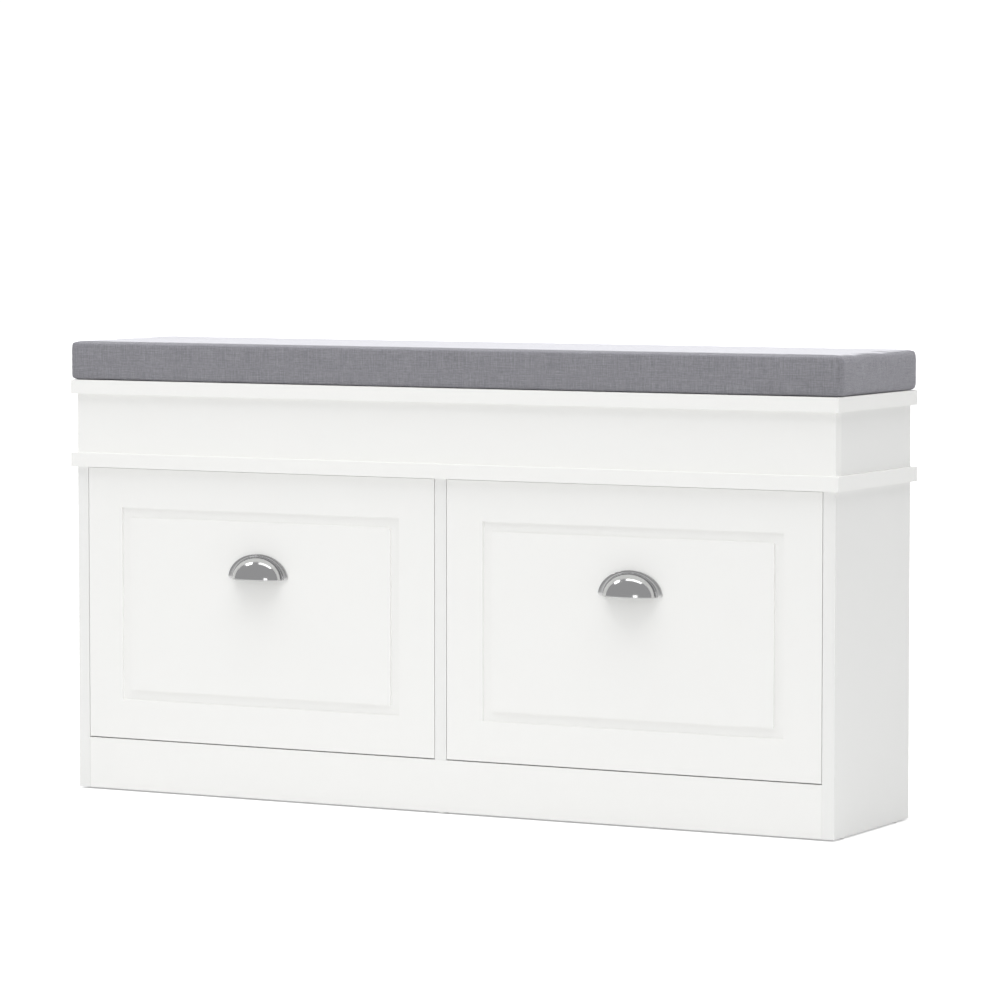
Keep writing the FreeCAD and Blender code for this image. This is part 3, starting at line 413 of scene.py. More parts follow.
@dataclass(frozen=True)
class Timber(Finish):
    """Plain wood, with rings and pores along X."""

    ring: float = 0.72
    pore: float = 0.6

    def make(self) -> bpy.types.Material:
        """Builds the material.

        Returns:
            The wood's material.
        """
        material, graph, shader, place = self.start()
        grain = graph.add("Group", ("Vector", place), node_tree=GROUPS["wood_grain"])
        dark = tuple(part * self.ring for part in self.color)
        tint = graph.mix(graph.ramp(grain.outputs["Rings"], low=0.4, high=0.6), (*self.color, 1), (*dark, 1))
        darker = tuple(part * self.pore for part in dark)
        pored = graph.mix(graph.math("MULTIPLY", grain.outputs["Pores"], 0.5), tint, (*darker, 1))
        graph.tree.links.new(pored, shader.inputs["Base Color"])
        self.bump(graph, shader, grain.outputs["Rings"], depth=0.2 * MM, strength=0.3)
        return material


@dataclass(frozen=True)
class Cloth(Finish):
    """Woven cloth read from the piece's own UV map in metres, with a shader sheen, and a painted sheen that
    pales its base colour at a low angle.
    """

    yarns: float = 900.0
    slub: float = 1.0
    spread: float = 0.26
    sheen: float = 0.5
    sheen_tint: tuple[float, float, float] = (0.93, 0.92, 1.0)
    # Painted sheen: how far the base colour pales where the cloth is seen at a low angle, and the pale tint
    # it goes to.
    painted_sheen: float = 0.8
    painted_sheen_tint: tuple[float, float, float] = (0.86, 0.86, 0.9)

    def make(self) -> bpy.types.Material:
        """Builds the material.

        Returns:
            The cloth's material.
        """
        material, graph, shader, _ = self.start()
        spot = graph.add("UVMap", uv_map="cloth").outputs[0]
        weave = graph.add("Group", ("Vector", spot), ("Yarns", self.yarns), ("Slub", self.slub),
                          node_tree=GROUPS["weave"])
        light = tuple(part * (1 + self.spread) for part in self.color)
        dark = tuple(part * (1 - self.spread) for part in self.color)
        tint = graph.mix(graph.ramp(weave.outputs["Tone"], low=-1.1, high=1.1), (*dark, 1), (*light, 1))
        # Painted sheen: where the cloth is seen at a low angle, its base colour is paled towards a lighter
        # tint.
        facing = graph.add("LayerWeight", ("Blend", 0.5)).outputs["Facing"]
        painted_sheen = graph.ramp(facing, low=0.82, high=0.93, start=0.0, end=self.painted_sheen)
        graph.tree.links.new(graph.mix(painted_sheen, tint, (*self.painted_sheen_tint, 1)), shader.inputs["Base Color"])
        shader.inputs["Sheen Weight"].default_value = self.sheen
        shader.inputs["Sheen Roughness"].default_value = 0.4
        shader.inputs["Sheen Tint"].default_value = (*self.sheen_tint, 1)
        shader.inputs["Specular IOR Level"].default_value = 0.25
        self.bump(graph, shader, weave.outputs["Height"], depth=0.5 * MM, strength=0.5)
        return material


class Look(Enum):
    """Every finish on the bench."""

    LACQUER = Lacquer("white_lacquer", (0.86, 0.862, 0.85), 0.42)
    LACQUER_UPRIGHT = Lacquer("white_lacquer_upright", (0.86, 0.862, 0.85), 0.42, streak=(1.0, 1.0, 0.05))
    HARDBOARD = Lacquer("white_hardboard", (0.82, 0.82, 0.80), 0.55, streak=(1.0, 1.0, 0.6), tone=0.02)
    NICKEL = Metal("polished_nickel", (0.62, 0.62, 0.62), 0.07, line=0.05)
    ZINC = Metal("zinc_steel", (0.62, 0.64, 0.66), 0.32, line=0.3, stretch=(1.0, 1.0, 0.1))
    CAST = Metal("cast_zinc", (0.5, 0.5, 0.5), 0.5, line=0.4)
    NYLON = Moulded("white_nylon", (0.84, 0.84, 0.82), 0.45)
    BEECH = Timber("plain_beech", (0.68, 0.5, 0.32), 0.6)
    LINEN = Cloth("grey_linen", (0.262, 0.26, 0.283), 0.85)
    ZIP_TAPE = Cloth("zip_tape", (0.16, 0.16, 0.175), 0.8, yarns=1400.0, slub=0.4)
    ZIP_COIL = Moulded("zip_coil", (0.12, 0.12, 0.13), 0.35)
    TOUCH = Moulded("touch_tape", (0.75, 0.75, 0.74), 0.95, pebble=2600.0, relief=1.0, depth=0.8 * MM)

    def material(self) -> bpy.types.Material:
        """Gives the finish's material, and makes it the first time.

        Returns:
            The material.
        """
        return bpy.data.materials.get(self.value.name) or self.value.make()


# ---------------------------------------------------------------------------------------------- mesh helpers
def finish_piece(name: str, shape: bmesh.types.BMesh, look: Look, body: str,
                 sharp: float = 35.0) -> bpy.types.Object:
    """Turns a bmesh into a finished piece at the origin that rides on a body.

    Args:
        name: the piece's name.
        shape: its mesh, in metres, in place. It is freed.
        look: its finish.
        body: the CAD body that it moves with.
        sharp: the angle in degrees over which an edge stays sharp.

    Returns:
        The new object.
    """
    mesh = bpy.data.meshes.new(name)
    shape.to_mesh(mesh)
    shape.free()
    mesh.polygons.foreach_set("use_smooth", [True] * len(mesh.polygons))
    mesh.set_sharp_from_angle(angle=math.radians(sharp))
    piece = bpy.data.objects.new(name, mesh)
    bpy.context.scene.collection.objects.link(piece)
    mesh.materials.append(look.material())
    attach(piece, body)
    return piece


def body_of(node: str) -> str:
    """Finds the body that a CAD node belongs to.

    Args:
        node: the node's name.

    Returns:
        The body's name.
    """
    bodies = frame["record"]["behaviour"]["bodies"]
    return next(body for body, members in bodies.items() if node in members)


def eased_board(node: str, look: Look, ease: float) -> bpy.types.Object:
    """Replaces a CAD board with the same board, its edges eased as sanding and paint leave them.

    Args:
        node: the CAD node.
        look: the finish.
        ease: the width of the rounding, in metres.

    Returns:
        The eased board.
    """
    shape = bmesh.new()
    shape.from_mesh(NODES[node].data)
    bmesh.ops.remove_doubles(shape, verts=shape.verts, dist=WELD)
    bmesh.ops.dissolve_limit(shape, angle_limit=math.radians(1.0), verts=shape.verts, edges=shape.edges)
    piece = finish_piece(f"{node}_eased", shape, look, body_of(node))
    bevel = piece.modifiers.new("eased_edges", "BEVEL")
    bevel.width = ease
    bevel.segments = 3
    bevel.limit_method = "ANGLE"
    bevel.angle_limit = math.radians(40)
    bevel.harden_normals = True
    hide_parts(node)
    return piece


def round_edges(shape: bmesh.types.BMesh, edges: list[bmesh.types.BMEdge], width: float, segments: int = 2,
                clamp: bool = False) -> None:
    """Rounds some edges of a mesh.

    Args:
        shape: the bmesh.
        edges: the edges to round.
        width: the width of the rounding, in metres.
        segments: how many faces it has across.
        clamp: whether it stops before it overlaps a neighbour.
    """
    bmesh.ops.bevel(shape, geom=edges, offset=width, affect="EDGES", segments=segments, profile=0.5,
                    material=-1, clamp_overlap=clamp)


def add_block(shape: bmesh.types.BMesh, low: Vector, high: Vector) -> list[bmesh.types.BMVert]:
    """Adds a rectangular block between two corners.

    Args:
        shape: the bmesh to add to.
        low: its lowest corner.
        high: its highest corner.

    Returns:
        Its vertices.
    """
    size = high - low
    place = Matrix.Translation((low + high) / 2) @ Matrix.Diagonal((*size, 1))
    return bmesh.ops.create_cube(shape, size=1.0, matrix=place)["verts"]


# ---------------------------------------------------------------------------------------------- case
@dataclass
class Case:
    """The white boards and everything that is fixed to them."""

    ease: float = 0.6 * MM
    boards: tuple[str, ...] = ("mid_board", "top_board", "frieze_front", "plinth_board", "bottom_board",
                               "rear_rail")
    upright_boards: tuple[str, ...] = ("left_side_panel", "right_side_panel", "centre_partition",
                                       "frieze_left", "frieze_right", "frieze_back", "frieze_rib")

    def build(self) -> None:
        """Eases the boards' edges and gives them their paint."""
        for look, nodes in ((Look.LACQUER, self.boards), (Look.LACQUER_UPRIGHT, self.upright_boards)):
            for node in nodes:
                eased_board(node, look, self.ease)
                LOG.info("case board %s", node)

    def dress(self) -> None:
        """Gives the hardware that stays as it is its finish."""
        dressed = {
            Look.HARDBOARD: ("left_back_panel", "right_back_panel"),
            Look.BEECH: ("wood_dowels", "plinth_blocks"),
            Look.CAST: ("cam_locks",),
            Look.ZINC: ("cam_bolts", "mid_board_screws", "frieze_screws", "back_panel_nails", "catch_screws"),
            Look.NYLON: ("foot_glides", "pivot_bushes", "stop_pegs", "left_catch", "right_catch"),
            Look.TOUCH: ("hook_tapes", "loop_tapes"),
        }
        for look, nodes in dressed.items():
            for node in nodes:
                dress_node(node, look)


def dress_node(node: str, look: Look) -> None:
    """Puts a finish on a CAD node that keeps its shape.

    Args:
        node: the node's name.
        look: its finish.
    """
    for place in NODES[node].material_slots:
        place.material = look.material()
    LOG.info("finish %s on %s", look.name.lower(), node)


# ---------------------------------------------------------------------------------------------- flaps
@dataclass
class CupPull:
    """A half-round cup pull: a thin domed shell on a flat rim with a stepped foot.

    lap makes the step's opening a little smaller than the rim's, so that no faces coincide. crowd is how much
    closer together an arch's points are at its feet.
    """

    side: str
    rim_half: float = 7.5 * MM
    rim_high: float = 3.4 * MM
    rim_thick: float = 1.6 * MM
    step_wide: float = 1.2 * MM
    step_thick: float = 2.4 * MM
    shell: float = 1.8 * MM
    lap: float = 0.985
    corner: float = 4.0 * MM
    boss_round: float = 3.5 * MM
    boss_long: float = 14.0 * MM
    boss_back: float = 0.4 * MM
    boss_gap: float = 20.0 * MM
    boss_high: float = 8.0 * MM
    rim_ease: float = 0.35 * MM
    lip_ease: float = 0.4 * MM
    lip_band: float = 0.2 * MM
    lip_turn: float = 0.9
    pole_weld: float = 0.01 * MM
    crowd: float = 0.35
    points: int = 72
    turns: int = 24

    def build(self) -> bpy.types.Object:
        """Shapes the pull where its CAD node is.

        Returns:
            The pull.
        """
        node = f"{self.side}_cup_pull"
        low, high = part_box(node)
        half, rise, reach = (high.x - low.x) / 2, high.z - low.z, high.y - low.y
        dome_half, dome_rise = half - self.rim_half, rise - self.rim_high
        shape = bmesh.new()
        mouth = Vector((dome_half - self.shell / 2, dome_rise - self.shell / 2))
        step = Vector((dome_half + self.step_wide, dome_rise + self.step_wide))
        self.plate(shape, mouth, (half, rise), (0.0, self.rim_thick), self.corner)
        self.plate(shape, mouth * self.lap, step, (self.rim_thick / 2, self.step_thick), 0.0)
        self.dome(shape, dome_half, dome_rise, reach)
        self.bosses(shape)
        bmesh.ops.recalc_face_normals(shape, faces=shape.faces)
        bmesh.ops.translate(shape, verts=shape.verts, vec=((low.x + high.x) / 2, high.y, low.z))
        piece = finish_piece(f"{self.side}_pull", shape, Look.NICKEL, body_of(node), 50.0)
        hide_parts(node)
        return piece

    def arch(self, shape: bmesh.types.BMesh, half: float, rise: float,
             corner: float = 0.0) -> list[bmesh.types.BMEdge]:
        """Draws the upper half of an oval in the XZ plane, with more points at its feet.

        Args:
            shape: the bmesh to add to.
            half: the oval's half width.
            rise: its height.
            corner: how far its feet are rounded inwards.

        Returns:
            Its edges, in order.
        """
        verts = []
        for step in range(self.points + 1):
            share = step / self.points
            angle = math.pi * share - self.crowd * math.sin(2 * math.pi * share)
            spot = Vector((half * math.cos(angle), 0.0, rise * max(0.0, math.sin(angle))))
            if spot.z < corner:
                spot.x -= math.copysign(corner - math.sqrt(corner ** 2 - (corner - spot.z) ** 2), spot.x)
            verts.append(shape.verts.new(spot))
        return [shape.edges.new(pair) for pair in zip(verts, verts[1:])]

    def plate(self, shape: bmesh.types.BMesh, inner: tuple[float, float], outer: tuple[float, float],
              depths: tuple[float, float], corner: float) -> None:
        """Adds a flat half ring with its front rim eased.

        Args:
            shape: the bmesh to add to.
            inner: the opening's half width and height.
            outer: the ring's half width and height.
            depths: how far in front of the flap its back and its front are.
            corner: how far its feet are rounded.
        """
        back, front = depths
        edges = self.arch(shape, *inner) + self.arch(shape, *outer, corner)
        ring = bmesh.ops.bridge_loops(shape, edges=edges)["faces"]
        feet = list(dict.fromkeys(vert for edge in edges for vert in edge.verts))
        bmesh.ops.translate(shape, verts=feet, vec=(0, -back, 0))
        raised = bmesh.ops.extrude_face_region(shape, geom=ring)["geom"]
        verts = [item for item in raised if isinstance(item, bmesh.types.BMVert)]
        bmesh.ops.translate(shape, verts=verts, vec=(0, back - front, 0))
        top = {item for item in raised if isinstance(item, bmesh.types.BMFace)}
        rim = [edge for edge in shape.edges if len(set(edge.link_faces) & top) == 1]
        round_edges(shape, rim, self.rim_ease, clamp=True)

    def dome(self, shape: bmesh.types.BMesh, half: float, rise: float, reach: float) -> None:
        """Adds the domed shell: an arch laid in the mouth and turned up to the flap's face.

        Args:
            shape: the bmesh to add to.
            half: the dome's half width.
            rise: its height at the back.
            reach: how far it stands out at the mouth.
        """
        edges = self.arch(shape, half, 1.0)
        verts = list(dict.fromkeys(vert for edge in edges for vert in edge.verts))
        bmesh.ops.rotate(shape, verts=verts, cent=(0, 0, 0), matrix=Matrix.Rotation(math.pi / 2, 3, "X"))
        before = set(shape.faces)
        bmesh.ops.spin(shape, geom=edges + verts, cent=(0, 0, 0), axis=(1, 0, 0), angle=-math.pi / 2,
                       steps=self.turns)
        skin = [face for face in shape.faces if face not in before]
        points = list(dict.fromkeys(vert for face in skin for vert in face.verts))
        bmesh.ops.scale(shape, verts=points, vec=(1, reach, rise))
        bmesh.ops.remove_doubles(shape, verts=points, dist=self.pole_weld)
        skin = [face for face in shape.faces if face not in before and face.is_valid]
        bmesh.ops.recalc_face_normals(shape, faces=skin)
        bmesh.ops.solidify(shape, geom=skin, thickness=self.shell)
        added = [edge for edge in shape.edges if edge.is_manifold and not set(edge.link_faces) & before]
        level = [edge for edge in added if max(abs(vert.co.z) for vert in edge.verts) < self.lip_band]
        lip = [edge for edge in level if edge.calc_face_angle() > self.lip_turn]
        round_edges(shape, lip, self.lip_ease, segments=3, clamp=True)

    def bosses(self, shape: bmesh.types.BMesh) -> None:
        """Adds the two screw bosses inside the dome.

        Args:
            shape: the bmesh to add to.
        """
        for side in (-1, 1):
            middle = Vector((side * self.boss_gap, -self.boss_back - self.boss_long / 2, self.boss_high))
            place = Matrix.Translation(middle) @ Matrix.Rotation(math.pi / 2, 4, "X")
            bmesh.ops.create_cone(shape, cap_ends=True, segments=32, radius1=self.boss_round,
                                  radius2=self.boss_round, depth=self.boss_long, matrix=place)


@dataclass
class Flap:
    """One tilt-out flap: its front, its rack of boards, its pull and its hardware."""

    side: str
    ease: float = 0.4 * MM
    rack_ease: float = 0.6 * MM
    rack: tuple[str, ...] = ("left_cheek", "right_cheek", "rack_bottom", "rack_back", "rack_divider")
    hardware: tuple[str, ...] = ("rack_screws", "brackets", "bracket_screws", "pivot_pins", "pull_screws",
                                 "strike_plate")

    def build(self) -> None:
        """Builds the boards and the pull."""
        eased_board(f"{self.side}_flap_front", Look.LACQUER, self.ease)
        for name in self.rack:
            eased_board(f"{self.side}_{name}", Look.LACQUER_UPRIGHT, self.rack_ease)
        CupPull(self.side).build()
        LOG.info("%s flap", self.side)

    def dress(self) -> None:
        """Gives the flap's hardware its finish."""
        for name in self.hardware:
            dress_node(f"{self.side}_{name}", Look.ZINC)


# ---------------------------------------------------------------------------------------------- cushion
@dataclass
class Cushion:
    """The seat cushion: a foam slab in a sewn linen cover, closed at the back by a zip."""

    voxel: float = 5 * MM
    tuck: float = 0.6 * MM
    corner: float = 5.5 * MM
    rim_share: float = 0.6
    cap: float = 1.6 * MM
    top_cap: float = 0.8 * MM
    frames: int = 20
    pressure: float = 4.0
    tension: float = 40.0
    bending: float = 2.0
    seam_inset: float = 1.5 * MM
    seam_wide: float = 3.2 * MM
    seam_deep: float = 1.1 * MM
    pucker_long: float = 9 * MM
    pucker_deep: float = 0.25 * MM
    ripple_long: float = 83 * MM
    ripple_deep: float = 0.35 * MM
    ripple_band: float = 14 * MM
    swell_long: float = 310 * MM
    swell_start: float = 1.1
    bulge: float = 3.4 * MM
    sag: float = 1.1 * MM
    sag_wide: float = 30 * MM
    sag_high: float = 4 * MM
    side_bias: float = 0.2

    def build(self) -> bpy.types.Object:
        """Blows the cover up from a slightly small slab, then sews its seams.

        Returns:
            The cushion.
        """
        low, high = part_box("cushion_cover")
        shape = bmesh.new()
        inset = Vector((self.tuck, self.tuck, 0))
        add_block(shape, low + inset, high - inset - Vector((0, 0, self.tuck)))
        upright = [edge for edge in shape.edges if abs((edge.verts[0].co - edge.verts[1].co).z) > self.voxel]
        round_edges(shape, upright, self.corner, segments=4)
        level = [edge for edge in shape.edges if abs((edge.verts[0].co - edge.verts[1].co).z) < WELD
                 and edge.verts[0].co.z > low.z + self.voxel]
        round_edges(shape, level, self.corner * self.rim_share, segments=3)
        piece = finish_piece("seat_cushion", shape, Look.LINEN, "cushion", 180.0)
        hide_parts("cushion_cover", "cushion_foam")
        self.inflate(piece, low, high)
        self.sew(piece, low, high)
        self.fill(piece, low, high)
        self.lay_cloth(piece)
        LOG.info("cushion with %d faces", len(piece.data.polygons))
        return piece

    def inflate(self, piece: bpy.types.Object, low: Vector, high: Vector) -> None:
        """Remeshes the cover and lets cloth pressure fill it, no further than the cap.

        Args:
            piece: the cushion.
            low: the CAD cushion's lowest corner.
            high: its highest corner.
        """
        remesh = piece.modifiers.new("remesh", "REMESH")
        remesh.mode = "VOXEL"
        remesh.voxel_size = self.voxel
        self.apply(piece)
        rest = [vert.co.copy() for vert in piece.data.vertices]
        cloth = piece.modifiers.new("cloth", "CLOTH")
        cloth.settings.use_pressure = True
        cloth.settings.uniform_pressure_force = self.pressure
        cloth.settings.effector_weights.gravity = 0
        cloth.settings.tension_stiffness = self.tension
        cloth.settings.bending_stiffness = self.bending
        cloth.settings.quality = 4
        scene = bpy.context.scene
        for number in range(1, self.frames + 1):
            scene.frame_set(number)
        self.apply(piece)
        scene.frame_set(1)
        for vert, start in zip(piece.data.vertices, rest):
            move = vert.co - start
            if move.length > self.cap:
                vert.co = start + move.normalized() * self.cap
            vert.co.z = min(max(vert.co.z, low.z), high.z + self.top_cap)

    def apply(self, piece: bpy.types.Object) -> None:
        """Applies the modifiers that the cushion has.

        Args:
            piece: the cushion.
        """
        view = bpy.context.evaluated_depsgraph_get()
        settled = bpy.data.meshes.new_from_object(piece.evaluated_get(view))
        piece.modifiers.clear()
        piece.data = settled

    def sew(self, piece: bpy.types.Object, low: Vector, high: Vector) -> None:
        """Presses in the four upright seams at the corners, and lets the long faces ripple a little.

        Args:
            piece: the cushion, already remeshed.
            low: the CAD cushion's lowest corner.
            high: its highest corner.
        """
        centre = (low + high) / 2
        shape = bmesh.new()
        shape.from_mesh(piece.data)
        bmesh.ops.subdivide_edges(shape, edges=shape.edges, cuts=1, use_grid_fill=True, smooth=0.4)
        bmesh.ops.smooth_vert(shape, verts=shape.verts, factor=0.5, use_axis_x=True, use_axis_y=True,
                              use_axis_z=True)
        half = (high - low) / 2
        seam = half.xy - Vector((1, 1)) * (self.tuck + self.seam_inset)
        for vert in shape.verts:
            out = vert.co - centre
            gap = (Vector((abs(out.x), abs(out.y))) - seam).length
            pinch = math.exp(-((gap / self.seam_wide) ** 2))
            depth = self.seam_deep + self.pucker_deep * math.sin(vert.co.z * 2 * math.pi / self.pucker_long)
            vert.co -= Vector((out.x, out.y, 0)).normalized() * pinch * depth
            along = vert.co.x * 2 * math.pi
            wave = math.sin(along / self.ripple_long) * math.sin(along / self.swell_long + self.swell_start)
            fade = math.sin(vert.co.z * math.pi / (2 * half.z))
            if abs(vert.co.y - centre.y) > half.y - self.ripple_band:
                vert.co.y += math.copysign(self.ripple_deep, vert.co.y - centre.y) * wave * fade
        shape.to_mesh(piece.data)
        shape.free()
        piece.data.polygons.foreach_set("use_smooth", [True] * len(piece.data.polygons))

    def fill(self, piece: bpy.types.Object, low: Vector, high: Vector) -> None:
        """Stretches the cover to the seat's outline, and lets the rim of its underside rest on the seat.

        Args:
            piece: the cushion, sewn.
            low: the CAD cushion's lowest corner.
            high: its highest corner.
        """
        verts = piece.data.vertices
        starts = (low.x - self.bulge, low.y - self.bulge / 2)
        for axis, (start, end) in enumerate(zip(starts, (high.x + self.bulge, high.y))):
            least = min(vert.co[axis] for vert in verts)
            most = max(vert.co[axis] for vert in verts)
            for vert in verts:
                vert.co[axis] = start + (vert.co[axis] - least) * (end - start) / (most - least)
        for vert in verts:
            edge = min(vert.co.x - low.x, high.x - vert.co.x, vert.co.y - low.y, high.y - vert.co.y)
            under = max(0.0, 1.0 - (vert.co.z - low.z) / self.sag_high)
            vert.co.z -= self.sag * max(0.0, 1.0 - edge / self.sag_wide) * under

    def lay_cloth(self, piece: bpy.types.Object) -> None:
        """Lays the weave on the cover, in metres, panel by panel as it is cut.

        Args:
            piece: the cushion.
        """
        mesh = piece.data
        if not mesh.materials:
            mesh.materials.append(Look.LINEN.material())
        layer = mesh.uv_layers.new(name="cloth")
        for face in mesh.polygons:
            flat = max(range(3), key=lambda axis: abs(face.normal[axis])
                       + (self.side_bias if axis == 1 else 0.0))
            across, up = {0: (1, 2), 1: (0, 2), 2: (0, 1)}[flat]
            for loop in face.loop_indices:
                spot = mesh.vertices[mesh.loops[loop].vertex_index].co
                layer.data[loop].uv = (spot[across], spot[up])


@dataclass
class Zip:
    """The zip in the back of the cover: tape, coil teeth and a slider with its tab."""

    tooth: float = 2.6 * MM
    tooth_share: float = 0.6
    tooth_deep: float = 0.5 * MM
    row_high: float = 2.6 * MM
    stagger: float = 0.3 * MM
    tape_sink: float = 0.3 * MM
    tape_ease: float = 0.2 * MM
    slider_gap: float = 6 * MM
    slider_size: tuple[float, float, float] = (8 * MM, 1.8 * MM, 6 * MM)
    slider_bite: float = 0.2 * MM
    slider_ease: float = 0.35 * MM
    tab_size: tuple[float, float, float] = (20 * MM, 0.9 * MM, 3.6 * MM)
    tab_start: tuple[float, float] = (6 * MM, 1.4 * MM)

    def build(self) -> None:
        """Builds the tape, the teeth and the slider where the CAD zip is."""
        low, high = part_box("cushion_zip")
        middle = (low.z + high.z) / 2
        self.tape(low, high)
        teeth = bmesh.new()
        count = int((high.x - low.x) / self.tooth)
        for index in range(count):
            start = low.x + (index + 0.2) * self.tooth
            level = middle + (self.stagger if index % 2 else -self.stagger)
            add_block(teeth, Vector((start, high.y - self.tooth_deep, level - self.row_high / 2)),
                      Vector((start + self.tooth * self.tooth_share, high.y, level + self.row_high / 2)))
        finish_piece("zip_teeth", teeth, Look.ZIP_COIL, "cushion")
        self.slider(low, high, middle)
        LOG.info("zip with %d teeth", count)

    def tape(self, low: Vector, high: Vector) -> None:
        """Builds the tape that the teeth stand on, with its weave.

        Args:
            low: the zip's lowest corner.
            high: its highest corner.
        """
        shape = bmesh.new()
        add_block(shape, low, high - Vector((0, self.tape_sink, 0)))
        round_edges(shape, shape.edges[:], self.tape_ease)
        piece = finish_piece("zip_tape", shape, Look.ZIP_TAPE, "cushion")
        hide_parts("cushion_zip")
        layer = piece.data.uv_layers.new(name="cloth")
        for loop in piece.data.loops:
            spot = piece.data.vertices[loop.vertex_index].co
            layer.data[loop.index].uv = (spot.x, spot.z)

    def slider(self, low: Vector, high: Vector, middle: float) -> None:
        """Builds the slider and its tab, near one end of the zip.

        Args:
            low: the zip's lowest corner.
            high: its highest corner.
            middle: the height of the row of teeth.
        """
        shape = bmesh.new()
        spot = Vector((low.x + self.slider_gap, high.y, middle))
        starts = {self.slider_size: (0.0, -self.slider_bite), self.tab_size: self.tab_start}
        for size, (along, out) in starts.items():
            corner = spot + Vector((along, out, -size[2] / 2))
            add_block(shape, corner, corner + Vector(size))
        round_edges(shape, shape.edges[:], self.slider_ease)
        finish_piece("zip_slider", shape, Look.ZINC, "cushion")


# ---------------------------------------------------------------------------------------------- stage
@dataclass(frozen=True)
class SoftBox:
    """One rectangular light: where it hangs, what it faces, how large it is and its power in watts."""

    name: str
    place: tuple[float, float, float]
    aim: tuple[float, float, float]
    size: tuple[float, float]
    power: float
    shines: bool = True

    def hang(self) -> None:
        """Hangs the light. Polished metal mirrors it only if it shines."""
        light = bpy.data.lights.new(self.name, "AREA")
        light.shape = "RECTANGLE"
        light.size, light.size_y = self.size
        light.energy = self.power
        lamp = bpy.data.objects.new(self.name, light)
        bpy.context.scene.collection.objects.link(lamp)
        lamp.visible_camera = False
        lamp.visible_glossy = self.shines
        lamp.location = self.place
        lamp.rotation_euler = (Vector(self.aim) - Vector(self.place)).to_track_quat("-Z", "Y").to_euler()


PLAIN_LIGHTS = (
    SoftBox("overhead", (0.3, -0.5, 2.6), (0, 0, 0.3), (3.4, 2.2), 48.0, shines=False),
    SoftBox("front", (0.6, -3.4, 2.2), (0, 0, 0.3), (1.6, 0.8), 2.5, shines=False),
    SoftBox("left", (-1.3, -1.3, 0.5), (-0.5, -0.1, 0.25), (0.7, 0.7), 1.4, shines=False),
    SoftBox("side", (3.4, -0.6, 0.7), (0.4, 0, 0.2), (1.2, 1.0), 7.0, shines=False),
)
HIGHLIGHTS = (
    SoftBox("left_blob", (-1.95, -0.25, 2.45), (-0.2, -0.1, 0.3), (0.78, 0.72), 9.5),
    SoftBox("high_bar", (0.15, -0.3, 2.75), (0.15, -0.1, 0.3), (1.9, 0.5), 7.0),
    SoftBox("low_blob", (0.86, -2.4, 0.4), (0, -0.1, 0.28), (0.6, 0.5), 1.8),
)


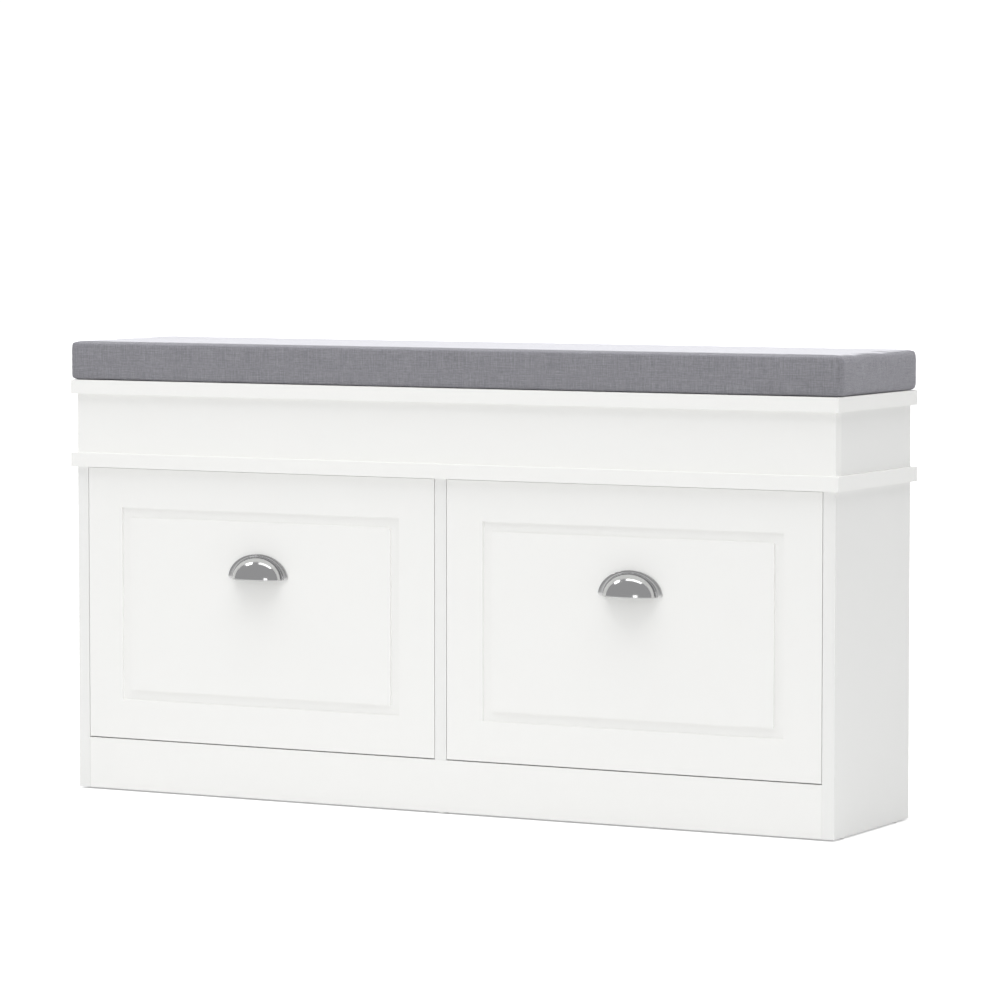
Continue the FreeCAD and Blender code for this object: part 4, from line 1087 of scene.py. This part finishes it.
@dataclass
class Studio:
    """The floor, the soft lights and the camera."""

    eye: tuple[float, float, float] = (2.6056, -4.8307, 0.7323)
    turn: float = 28.095
    dip: float = 3.877
    lens: float = 168.25
    floor_size: float = 40.0
    floor_near: float = 0.9
    floor_far: float = 2.2
    floor_glow: float = 0.35
    floor_tone: float = 0.86
    room_strength: float = 0.55
    room_seen: float = 0.5
    room_mirrored: tuple[float, float, float] = (0.8, 0.8, 0.81)

    def build(self) -> None:
        """Sets the stage."""
        self.floor()
        self.world()
        for light in PLAIN_LIGHTS + HIGHLIGHTS:
            light.hang()
        self.camera()
        view = bpy.context.scene.view_settings
        view.view_transform = "Standard"
        view.look = "None"
        view.exposure = 0.0
        view.gamma = 1.0

    def floor(self) -> None:
        """Lays a plain pale floor that the camera sees brighten with distance."""
        shape = bmesh.new()
        bmesh.ops.create_grid(shape, x_segments=1, y_segments=1, size=self.floor_size)
        mesh = bpy.data.meshes.new("floor")
        shape.to_mesh(mesh)
        shape.free()
        floor = bpy.data.objects.new("floor", mesh)
        bpy.context.scene.collection.objects.link(floor)
        material = bpy.data.materials.new("pale_floor")
        material.use_nodes = True
        graph = Graph(material.node_tree)
        shader = material.node_tree.nodes["Principled BSDF"]
        shader.inputs["Base Color"].default_value = (*[self.floor_tone] * 3, 1)
        shader.inputs["Roughness"].default_value = 0.9
        shader.inputs["Specular IOR Level"].default_value = 0.0
        shader.inputs["Emission Color"].default_value = (1, 1, 1, 1)
        place = graph.add("TexCoord").outputs["Object"]
        far = graph.add("VectorMath", (0, place), operation="LENGTH").outputs["Value"]
        glow = graph.ramp(far, low=self.floor_near, high=self.floor_far, start=self.floor_glow, end=1.0)
        seen = graph.math("MULTIPLY", glow, graph.add("LightPath").outputs["Is Camera Ray"])
        material.node_tree.links.new(seen, shader.inputs["Emission Strength"])
        mesh.materials.append(material)

    def world(self) -> None:
        """Lights the room evenly: the camera sees it brighter and polished metal mirrors it darker."""
        world = bpy.data.worlds.new("studio")
        world.use_nodes = True
        bpy.context.scene.world = world
        graph = Graph(world.node_tree)
        back = world.node_tree.nodes["Background"]
        path = graph.add("LightPath")
        seen = graph.mix(path.outputs["Is Glossy Ray"], (1, 1, 1, 1), (*self.room_mirrored, 1))
        color = graph.mix(path.outputs["Is Camera Ray"], seen, (1, 1, 1, 1))
        world.node_tree.links.new(color, back.inputs["Color"])
        extra = graph.math("MULTIPLY", path.outputs["Is Camera Ray"], self.room_seen)
        strength = graph.math("ADD", extra, self.room_strength)
        world.node_tree.links.new(strength, back.inputs["Strength"])

    def camera(self) -> None:
        """Stands the camera up, to the right of the bench and a little above it."""
        lens = bpy.data.cameras.new("camera")
        lens.lens = self.lens
        lens.sensor_width = 36.0
        lens.clip_end = 100.0
        camera = bpy.data.objects.new("camera", lens)
        bpy.context.scene.collection.objects.link(camera)
        camera.location = self.eye
        camera.rotation_euler = (math.radians(90 - self.dip), 0, math.radians(self.turn))
        bpy.context.scene.camera = camera


def main() -> None:
    """Builds the bench's looks in order and reports each piece."""
    logging.basicConfig(level=logging.INFO, format="%(name)s: %(message)s", stream=sys.stdout)
    for name, make in GROUP_MAKERS.items():
        GROUPS[name] = make()
    Studio().build()
    case = Case()
    case.build()
    case.dress()
    for side in ("left", "right"):
        flap = Flap(side)
        flap.build()
        flap.dress()
    Cushion().build()
    Zip().build()
    LOG.info("all pieces built")


if __name__ == "__main__":
    main()
